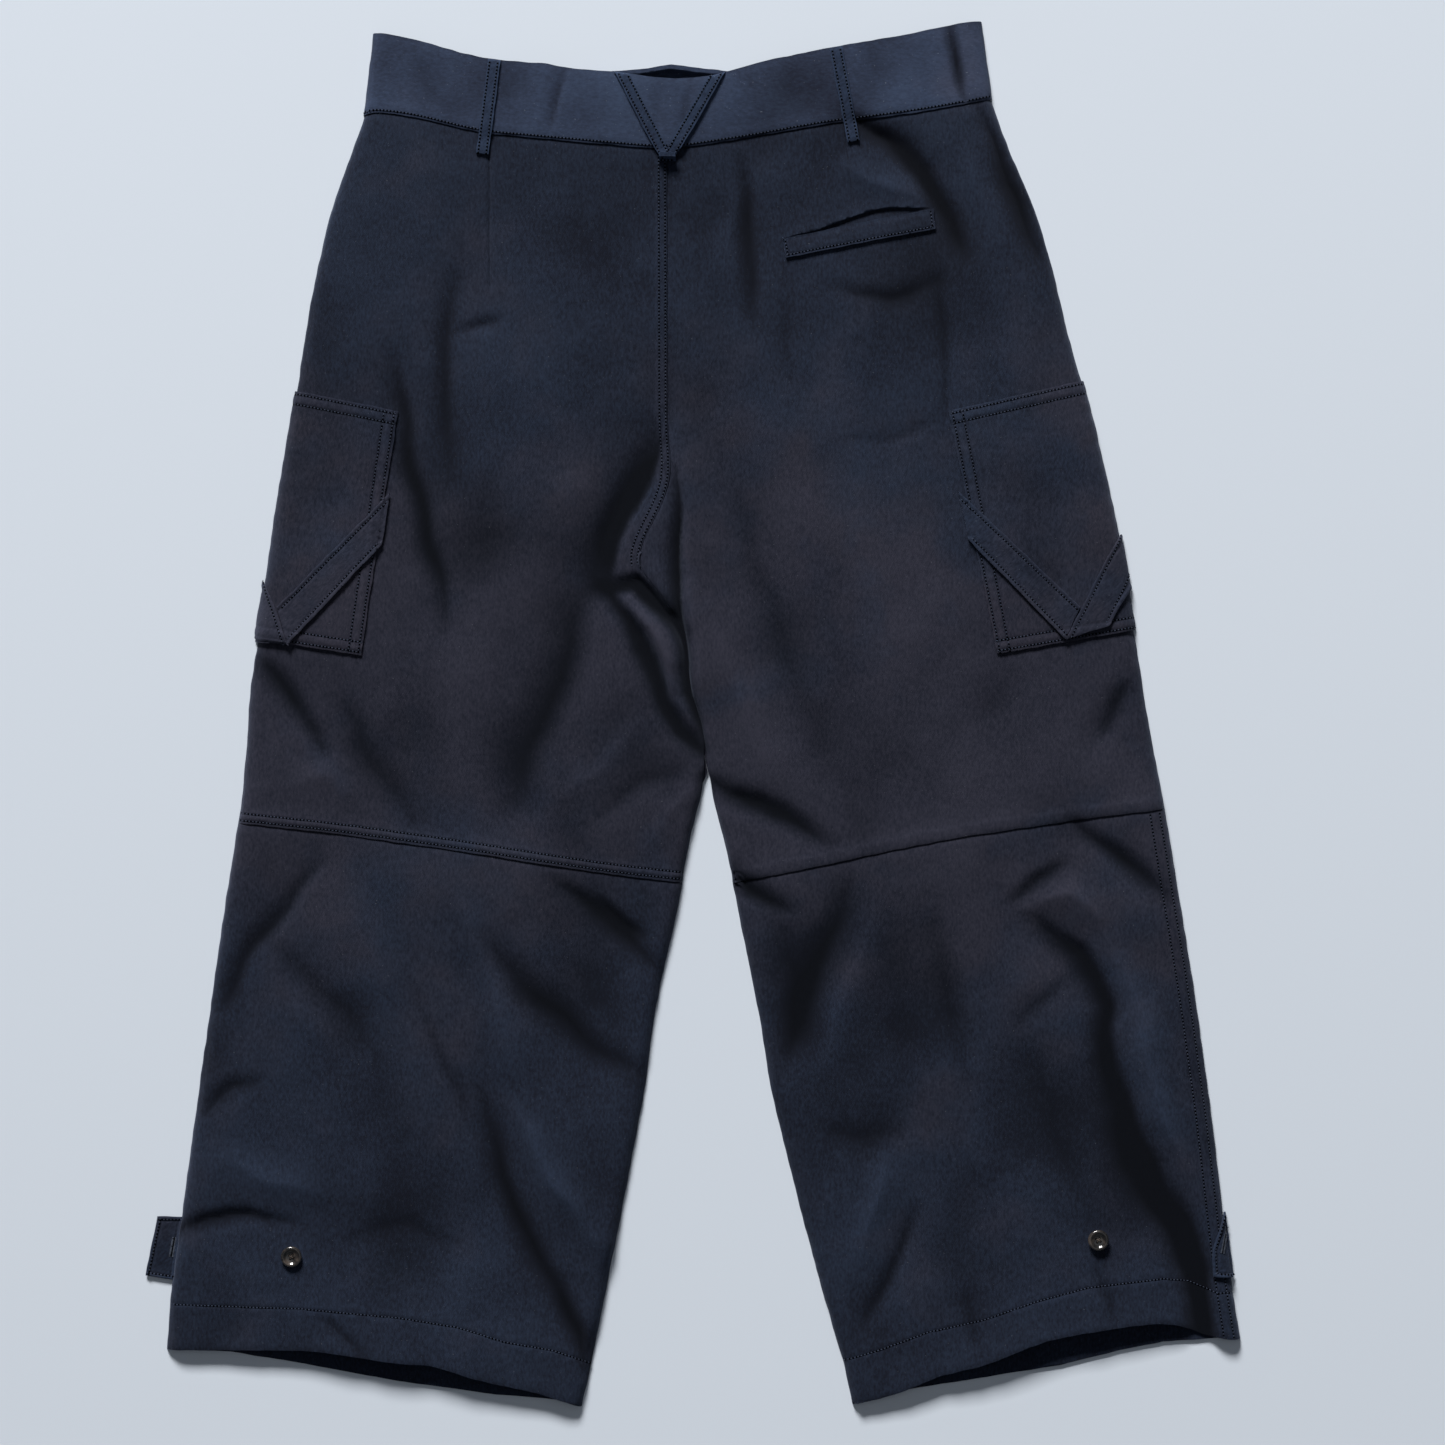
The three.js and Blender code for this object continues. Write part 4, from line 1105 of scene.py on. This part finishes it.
# The cargo pockets and their straps
# A patch of twill wraps the side edge of each thigh, hemmed and stitched twice on every
# edge. Two folded straps are sewn across its lower part in a V, the outer one on top.
POCKET_CLOTH = 1.3 * MM
POCKET_ROWS = (2.2, 9.4)
POCKET_SWELL = (5.8, 2.6, 0.24)
POCKET_LIFT = 0.15 * MM
POCKET_ROLL = 0.35 * MM
POCKET_WEAR = 0.35
STRAP_CLOTH = 1.4 * MM
STRAP_ROW = 3.0
STRAP_EDGE = 0.45 * MM
STRAP_DIP = 0.30 * MM
STRAP_WEAR = 0.40
GROUND_REACH = 6 * MM
BARE_RISE = 0.6 * MM
POCKETS = {
    "left": {
        "top": [(-212, 217.5), (-310, 237)],
        "inner": [(-212, 217.5), (-238, 42)],
        "foot": [(-238, 42), (-345, 58.5)],
    },
    "right": {
        "top": [(184, 217.5), (300, 244)],
        "inner": [(184, 217.5), (218.5, 43)],
        "foot": [(218.5, 43), (345, 65)],
    },
}
STRAPS = {
    "left": {
        "upper": [[(-217.5, 158.5), (-298, 77)], [(-290.5, 49.5), (-223, 121.5)]],
        "lower": [[(-290.5, 49.5), (-298.5, 74), (-307.5, 98), (-322, 135)]],
    },
    "right": {
        "upper": [[(190.5, 160), (278, 77)], [(198, 124.5), (267.5, 53.5)]],
        "lower": [[(267.5, 53.5), (315, 148)], [(299, 63.5), (312, 88.5), (332, 128)]],
    },
}


def pocket_rise(side, vert):
    """How far a pocket, or the strap on it, stands over a place of the leg's cloth."""
    for below in (f"cargo_strap_{side}_upper", f"cargo_pocket_{side}"):
        if below in SHEETS:
            hit = SHEETS[below][1].ray_cast(vert.co, vert.normal, GROUND_REACH)[0]
            if hit is not None:
                return (hit - vert.co).length
    return BARE_RISE


for side in ("left", "right"):
    leg = f"back_{side}_upper"
    name = f"cargo_pocket_{side}"
    pocket = cut_from(leg, name, plan_corners(name))
    plan = places(pocket)[:, :2]
    lift = np.full(len(plan), SEAM_GAP + POCKET_CLOTH + POCKET_LIFT)
    worn = np.zeros(len(plan))
    for edge in ("top", "inner", "foot"):
        line = in_metres(POCKETS[side][edge])
        lift += row_relief(plan, line, POCKET_ROWS, (POCKET_SWELL,))
        far, _, _ = beside(plan, line)
        lift -= POCKET_ROLL * np.exp(-far / (0.8 * MM))
        worn += POCKET_WEAR * np.exp(-far / (1.5 * MM))
        worn += row_shade_and_wear(far, POCKET_ROWS, POCKET_SWELL[0])
    raise_sheet(pocket, lift)
    add_shade_and_wear(pocket, worn)
    sew_piece(name, pocket, POCKET_CLOTH, TWILL_POCKET)
    for part in ("upper", "lower"):
        strap_name = f"cargo_strap_{side}_{part}"
        strap = cut_from(leg, strap_name, plan_corners(strap_name), finer=2)
        plan = places(strap)[:, :2]
        lift = np.array([pocket_rise(side, vert) for vert in strap.vertices])
        lift += STRAP_CLOTH + SEAM_GAP
        worn = np.zeros(len(plan))
        for line in STRAPS[side][part]:
            far, _, _ = beside(plan, in_metres(line))
            worn += STRAP_WEAR * np.exp(-far / SEAM_REACH)
            lift += STRAP_EDGE * hill(far, 1.0 * MM, 1.1 * MM)
            lift -= STRAP_DIP * hill(far, STRAP_ROW * MM, ROW_WIDTH)
        raise_sheet(strap, lift)
        add_shade_and_wear(strap, worn)
        area = sum(face.area for face in strap.polygons)
        sew_piece(strap_name, strap, STRAP_CLOTH, TWILL_STRAP)


# The ankle tabs
# Short folded tabs sewn into the outer side seams, for buttoning the hem in. The left one
# lies on the floor beside the leg, the right one is turned up over the leg's edge.
TAB_CELL = 1.0 * MM
TAB_LIFT = 0.3 * MM
TAB_WEAR = 0.15


def tab_relief(far):
    """A folded tab's thick edge, the sewn row inside it and its thinner middle."""
    edge = 0.55 * MM * hill(far, 1.1 * MM, 1.0 * MM)
    row = -0.45 * MM * hill(far, 2.9 * MM, 0.8 * MM)
    return edge + row - 0.25 * MM * soft_step(far, 3.4 * MM, 6 * MM)


lay_flat(
    "ankle_tab_left", STRAP_CLOTH, TAB_CELL, TWILL_STRAP, edged=True
)
tab = cut_from("back_right_lower", "ankle_tab_right", plan_corners("ankle_tab_right"), finer=2)
tab_far = outline_distance(tab)
raise_sheet(tab, SEAM_GAP + STRAP_CLOTH + TAB_LIFT + tab_relief(tab_far))
# The tab's shape paints its colour: painted shade along its sewn row and thinner middle, paler on
# its thick edge, and evenly paler for wear
add_shade_and_wear(tab, tab_relief(tab_far) / MM + TAB_WEAR)
sew_piece(
    "ankle_tab_right", tab, STRAP_CLOTH,
    TWILL_STRAP,
)


# The ankle buttons
# Glossy dark resin turned like horn: a raised rim round a dished middle with four holes and
# a crossed thread. They are sewn on the legs, in from the tabs.
HORN_DARK = (0.008, 0.0072, 0.0070)
HORN_BROWN = (0.062, 0.049, 0.041)
HORN_SPECULAR = 0.55
HORN_COAT = 0.7
COAT_ROUGHNESS = 0.08
BUTTON_RADIUS = 7.5 * MM
BUTTON_HEIGHT = 3.4 * MM
BUTTON_PROFILE = (
    (0, 0), (0.60, 0), (0.80, 0.12), (0.95, 0.40), (1.0, 0.62), (0.97, 0.84), (0.90, 0.96),
    (0.82, 1.0), (0.74, 0.97), (0.67, 0.86), (0.60, 0.68), (0.50, 0.60), (0.28, 0.55), (0, 0.54),
)
BUTTON_STEPS = 56
HOLE_RADIUS = 0.85 * MM
HOLE_SPREAD = 1.75 * MM
BUTTON_THREAD = 0.42 * MM
THREAD_ROUGHNESS = 0.62
SHARP_RIM = math.radians(40)


def horn():
    """Polished resin with brown streaks in it."""
    material, sockets = new_material("button_horn")
    use = Nodes(material.node_tree)
    place = use.add("ShaderNodeTexCoord").outputs["Object"]
    streaks = use.span(use.noise(place, 160.0, 4.0, 0.6), 0.45, 0.72)
    use.join(use.blend(streaks, HORN_DARK, HORN_BROWN), sockets["Base Color"])
    scuffs = use.noise(place, 900.0, 2.0)
    use.join(use.span(scuffs, 0.3, 0.7, 0.16, 0.30), sockets["Roughness"])
    sockets["Specular IOR Level"].default_value = HORN_SPECULAR
    sockets["Coat Weight"].default_value = HORN_COAT
    sockets["Coat Roughness"].default_value = COAT_ROUGHNESS
    return material


def thread(name, colour, shine=0.25):
    """Polyester sewing thread, a little smoother than the cloth, or, with no shine, the near-black
    painted shade of a hole.
    """
    material, sockets = new_material(name)
    use = Nodes(material.node_tree)
    place = use.add("ShaderNodeTexCoord").outputs["Object"]
    dark = tuple(0.55 * part for part in colour)
    tone = use.blend(use.span(use.noise(place, 420.0, 3.0), 0.35, 0.65), dark, colour)
    use.join(tone, sockets["Base Color"])
    sockets["Roughness"].default_value = THREAD_ROUGHNESS
    sockets["Specular IOR Level"].default_value = shine
    sockets["Specular Tint"].default_value = (*SHEEN_TINT, 1)
    sockets["Sheen Weight"].default_value = 0.4 * shine
    return material


HORN = horn()
THREAD = thread("navy_thread", (0.037, 0.049, 0.080))
# Painted shade: near-black beads laid where needle holes and buttonhole slits would be shadowed
PAINTED_HOLE_SHADE = thread("painted_needle_shade", (0.0016, 0.0018, 0.0026), shine=0.0)
BUTTON_YARN = thread("button_yarn", (0.075, 0.056, 0.040))


def finished(name, sheet, material):
    """A piece of hard or thread parts from a bmesh, smooth, and riding with the garment."""
    mesh = take_mesh(sheet, name)
    mesh.materials.append(material)
    for face in mesh.polygons:
        face.use_smooth = True
    piece = link(name, mesh)
    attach(piece, "root")
    return piece


def turned_button(centre):
    sheet = bmesh.new()
    rim = [
        sheet.verts.new((share * BUTTON_RADIUS, 0, height * BUTTON_HEIGHT))
        for share, height in BUTTON_PROFILE
    ]
    edges = [sheet.edges.new(pair) for pair in zip(rim, rim[1:])]
    bmesh.ops.spin(
        sheet, geom=rim + edges, cent=(0, 0, 0), axis=(0, 0, 1), dvec=(0, 0, 0),
        angle=math.tau, steps=BUTTON_STEPS, use_merge=True, use_duplicate=False,
    )
    bmesh.ops.remove_doubles(sheet, verts=sheet.verts, dist=MERGE / 4)
    bmesh.ops.recalc_face_normals(sheet, faces=sheet.faces)
    bmesh.ops.translate(sheet, verts=sheet.verts, vec=centre)
    return sheet


def hole_places(centre):
    for quarter in range(4):
        turn = math.tau * (quarter + 0.5) / 4 + 0.3
        yield centre + Vector((math.cos(turn), math.sin(turn), 0)) * HOLE_SPREAD


for name in ("button_left", "button_right"):
    low, high = (Vector(corner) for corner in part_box(name))
    seat = Vector(((low.x + high.x) / 2, (low.y + high.y) / 2, low.z))
    disc = take_mesh(turned_button(seat), name)
    drill = bmesh.new()
    for spot in hole_places(seat):
        bmesh.ops.create_cone(
            drill, cap_ends=True, segments=16, radius1=HOLE_RADIUS, radius2=HOLE_RADIUS,
            depth=4 * BUTTON_HEIGHT, matrix=Matrix.Translation(spot),
        )
    cutter = link("drill", take_mesh(drill, "drill"))
    disc = with_modifier(disc, "BOOLEAN", object=cutter, operation="DIFFERENCE", solver="EXACT")
    bpy.data.objects.remove(cutter)
    sheet = bmesh.new()
    sheet.from_mesh(disc)
    button = finished(f"{name}_horn", sheet, HORN)
    button.data.set_sharp_from_angle(angle=SHARP_RIM)
    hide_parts(name)
    spots = list(hole_places(seat))
    cross = bmesh.new()
    for first, second in ((0, 2), (1, 3)):
        way = spots[second] - spots[first]
        middle = (spots[first] + spots[second]) / 2
        middle.z = seat.z + 0.56 * BUTTON_HEIGHT + BUTTON_THREAD * (0.6 + 0.7 * first)
        turn = way.to_track_quat("Z", "Y").to_matrix().to_4x4()
        size = Matrix.Diagonal((BUTTON_THREAD, BUTTON_THREAD, way.length * 0.56, 1))
        bmesh.ops.create_uvsphere(
            cross, u_segments=10, v_segments=12, radius=1,
            matrix=Matrix.Translation(middle) @ turn @ size,
        )
    finished(f"{name}_thread", cross, BUTTON_YARN)


# The topstitching
# Navy thread in rows of short stitches, 2.5 mm apart, each pulled a little into the cloth
# between two needle holes, each hole's shadow painted as a near-black bead. Every row is
# dropped on the piece that it holds.
STITCH = 2.5 * MM
STITCH_SHARE = 0.62
THREAD_RADIUS = 0.30 * MM
THREAD_LIFT = 0.12 * MM
# Size of the near-black bead of painted shade over each needle hole
HOLE_SHADE_WIDTH = 0.90 * MM
HOLE_SHADE_LENGTH = 0.80 * MM
HOLE_SHADE_DEPTH = 0.16 * MM
HOLE_SHADE_LIFT = 0.08 * MM
THREAD_SIZES = (THREAD_RADIUS, THREAD_RADIUS * 0.8, STITCH * STITCH_SHARE / 2)
HOLE_SHADE_SIZES = (HOLE_SHADE_WIDTH, HOLE_SHADE_DEPTH, HOLE_SHADE_LENGTH)
LEAST_UP = 0.25
MIDDLE_ROWS = (1.3, 5.8)
WAIST_ROW = 1.8
SIDE_ROWS = (5.0, 12.0)
LOOP_ROW = 1.6
TAB_ROW = 2.2


def along_line(line, pitch):
    """Places at even steps along a plan line, each with its direction."""
    line = np.asarray(line, float)
    steps = np.hypot(*(line[1:] - line[:-1]).T)
    gone = np.concatenate(([0], np.cumsum(steps)))
    for number in range(int(gone[-1] / pitch)):
        spot, beyond = (
            Vector([np.interp((number + share) * pitch, gone, axis) for axis in line.T])
            for share in (0.5, 0.6)
        )
        yield spot, (beyond - spot).normalized()


def moved_aside(line, gap):
    """A plan line moved to the left of its way by a gap in millimetres."""
    line = np.asarray(line, float)
    way = np.gradient(line, axis=0)
    way /= np.hypot(*way.T)[:, None]
    return line + np.column_stack((-way[:, 1], way[:, 0])) * gap * MM


def round_bead(name, segments):
    """A ball of radius 1, and its places, to be stretched into each stitch."""
    sheet = bmesh.new()
    bmesh.ops.create_uvsphere(sheet, u_segments=segments[0], v_segments=segments[1], radius=1)
    mesh = take_mesh(sheet, name)
    return mesh, places(mesh).ravel()


THREAD_BEAD = round_bead("thread_bead", (6, 4))
HOLE_SHADE_BEAD = round_bead("hole_shade_bead", (6, 3))


def add_bead(sheet, bead, place, along, normal, sizes):
    """One small thread shape, or bead of painted hole shade, its long side along a direction."""
    mesh, ball = bead
    turn = Matrix((normal.cross(along).normalized(), normal, along)).transposed().to_4x4()
    mesh.vertices.foreach_set("co", ball)
    mesh.transform(Matrix.Translation(place) @ turn @ Matrix.Diagonal((*sizes, 1)))
    sheet.from_mesh(mesh)


def lying(way, normal):
    """The direction on a slope that goes along a plan direction."""
    along = way.to_3d()
    return (along - normal * along.dot(normal)).normalized()


def stitch(name, rows, names, floor_side=None):
    """A piece of stitches for plan rows on the named sheets, or under a flat front, with beads of
    painted shade at the needle holes.
    """
    threads = bmesh.new()
    hole_shades = bmesh.new()
    for row in rows:
        for spot, way in along_line(row, STITCH):
            if floor_side is None:
                found = ground_at(spot.x, spot.y, names)
                if found is None or found[1].z < LEAST_UP:
                    continue
                place, normal = found
            else:
                place, normal = Vector((spot.x, spot.y, floor_side)), Vector((0, 0, -1))
            along = lying(way, normal)
            raised = place + normal * THREAD_LIFT
            add_bead(threads, THREAD_BEAD, raised, along, normal, THREAD_SIZES)
            # Painted shade: a near-black bead over the needle hole between two stitches
            between = place + along * STITCH / 2 + normal * HOLE_SHADE_LIFT
            add_bead(hole_shades, HOLE_SHADE_BEAD, between, along, normal, HOLE_SHADE_SIZES)
    finished(f"stitches_{name}", threads, THREAD)
    finished(f"needle_holes_{name}", hole_shades, PAINTED_HOLE_SHADE)


MIDDLE_FOOT, MIDDLE_TOP = 0.106, 0.404
middle_run = [
    point for point in RUNS["back_left_upper"]["right"] if MIDDLE_FOOT <= point[1] <= MIDDLE_TOP
]
stitch("middle_seam", [moved_aside(middle_run, gap) for gap in MIDDLE_ROWS], ["back_left_upper"])
for side in ("left", "right"):
    upper = f"back_{side}_upper"
    foot = RUNS[upper]["foot"]
    stitch(f"knee_{side}", [moved_aside(foot, gap) for gap in KNEE_ROWS], [upper])
waist_seam = moved_aside(RUNS["waistband_back"]["foot"], WAIST_ROW)
stitch("waist_seam", [waist_seam], ["waistband_back"])
for side, row in HEM_ROWS.items():
    stitch(f"hem_{side}", [in_metres(row)], [f"back_{side}_lower"])
side_run = RUNS["back_right_lower"]["right"]
stitch("side_right", [moved_aside(side_run, gap) for gap in SIDE_ROWS], ["back_right_lower"])


def inside(line, gap, middle):
    """A line moved by a gap towards a plan place."""
    moved = moved_aside(in_metres(line), gap)
    other = moved_aside(in_metres(line), -gap)
    middle = np.asarray(middle) * MM
    near = np.hypot(*(moved.mean(0) - middle)) < np.hypot(*(other.mean(0) - middle))
    return moved if near else other


POCKET_MIDDLE = {"left": (-265, 140), "right": (250, 140)}
STRAP_MIDDLE = {
    "left": {"upper": (-255, 100), "lower": (-318, 90)},
    "right": {"upper": (235, 105), "lower": (302, 100)},
}
for side in ("left", "right"):
    name = f"cargo_pocket_{side}"
    rows = [
        inside(line, gap, POCKET_MIDDLE[side])
        for line in POCKETS[side].values() for gap in POCKET_ROWS
    ]
    stitch(name, rows, [name])
    for part, lines in STRAPS[side].items():
        strap_name = f"cargo_strap_{side}_{part}"
        rows = [inside(line, STRAP_ROW, STRAP_MIDDLE[side][part]) for line in lines]
        stitch(strap_name, rows, [strap_name])

END_ROW = [(-25, 397), (-14, 397)]
for name, start, end, width, _, _ in STRIPS:
    centre = in_metres([start, end])
    rows = [moved_aside(centre, gap) for gap in (-width / 2 + LOOP_ROW, width / 2 - LOOP_ROW)]
    stitch(name, [in_metres(END_ROW)] if name == "back_loop_end" else rows, [name])

WELT_MIDDLE = (119, 345)
WELT_LINES = (
    [(67, 327.5), (174, 348.5)],
    [(64.5, 341), (67, 327.5)],
    [(174, 348.5), (172.5, 363)],
)
stitch("welt_right", [inside(line, WELT_ROW, WELT_MIDDLE) for line in WELT_LINES], ["welt_right"])

TAB_LINES = {
    "ankle_tab_left": [(-366.8, -361.5), (-385, -361.5), (-394, -404), (-373.6, -407)],
    "ankle_tab_right": [(381, -358.5), (373, -385), (374.5, -404), (392, -405)],
}
TAB_MIDDLE = {"ankle_tab_left": (-380, -384), "ankle_tab_right": (386, -384)}
for name, line in TAB_LINES.items():
    edges = zip(line, line[1:])
    stitch(name, [inside(edge, TAB_ROW, TAB_MIDDLE[name]) for edge in edges], [name])

# Each tab's buttonhole is a slit bound by close stitches across its edges, the slit's
# shadow painted as a near-black bead.
BINDING = 0.8 * MM
BINDING_ASIDE = 1.1 * MM
BINDING_SIZES = (0.34 * MM, 0.3 * MM, 0.8 * MM)
SLIT_SHADE_SIZES = (0.5 * MM, 0.25 * MM, 0.8 * MM)
BUTTONHOLES = {
    "ankle_tab_left": [(-372.8, -376.5), (-375.4, -391)],
    "ankle_tab_right": [(384, -368.5), (380.3, -387.5)],
}
BINDING_YARN = thread("buttonhole_yarn", (0.065, 0.078, 0.105))
for name, slit in BUTTONHOLES.items():
    bars = bmesh.new()
    gap = bmesh.new()
    for spot, way in along_line(in_metres(slit), BINDING):
        found = ground_at(spot.x, spot.y, [name])
        if found:
            place, normal = found
            along = lying(way, normal)
            across = normal.cross(along).normalized()
            for aside in (-BINDING_ASIDE, BINDING_ASIDE):
                middle = place + across * aside + normal * THREAD_LIFT
                add_bead(bars, THREAD_BEAD, middle, across, normal, BINDING_SIZES)
            # Painted shade: a near-black bead along the slit
            add_bead(gap, HOLE_SHADE_BEAD, place, along, normal, SLIT_SHADE_SIZES)
    finished(f"binding_{name}", bars, BINDING_YARN)
    finished(f"slit_{name}", gap, PAINTED_HOLE_SHADE)

# The front's fly, middle seam and hems, seen only from below
FLY = np.array([(24, 398), (24, 300), (22, 275), (14, 255), (0, 243), (-18, 238)], float)
FLY_STEP = (-5, 4)
stitch("fly", [in_metres(FLY), in_metres(FLY + FLY_STEP)], [], FRONT_LIFT)
FRONT_MIDDLE = [(-24, 240), (-24, 200), (-20, 90), (-8, 20), (5, -36)]
stitch("front_middle", [in_metres(FRONT_MIDDLE)], [], FRONT_LIFT)
FRONT_HEM_STEP = (0, -8)
for side, row in HEM_ROWS.items():
    lower = np.array(row[1:-1], float) + FRONT_HEM_STEP
    stitch(f"front_hem_{side}", [in_metres(lower)], [], FRONT_LIFT)
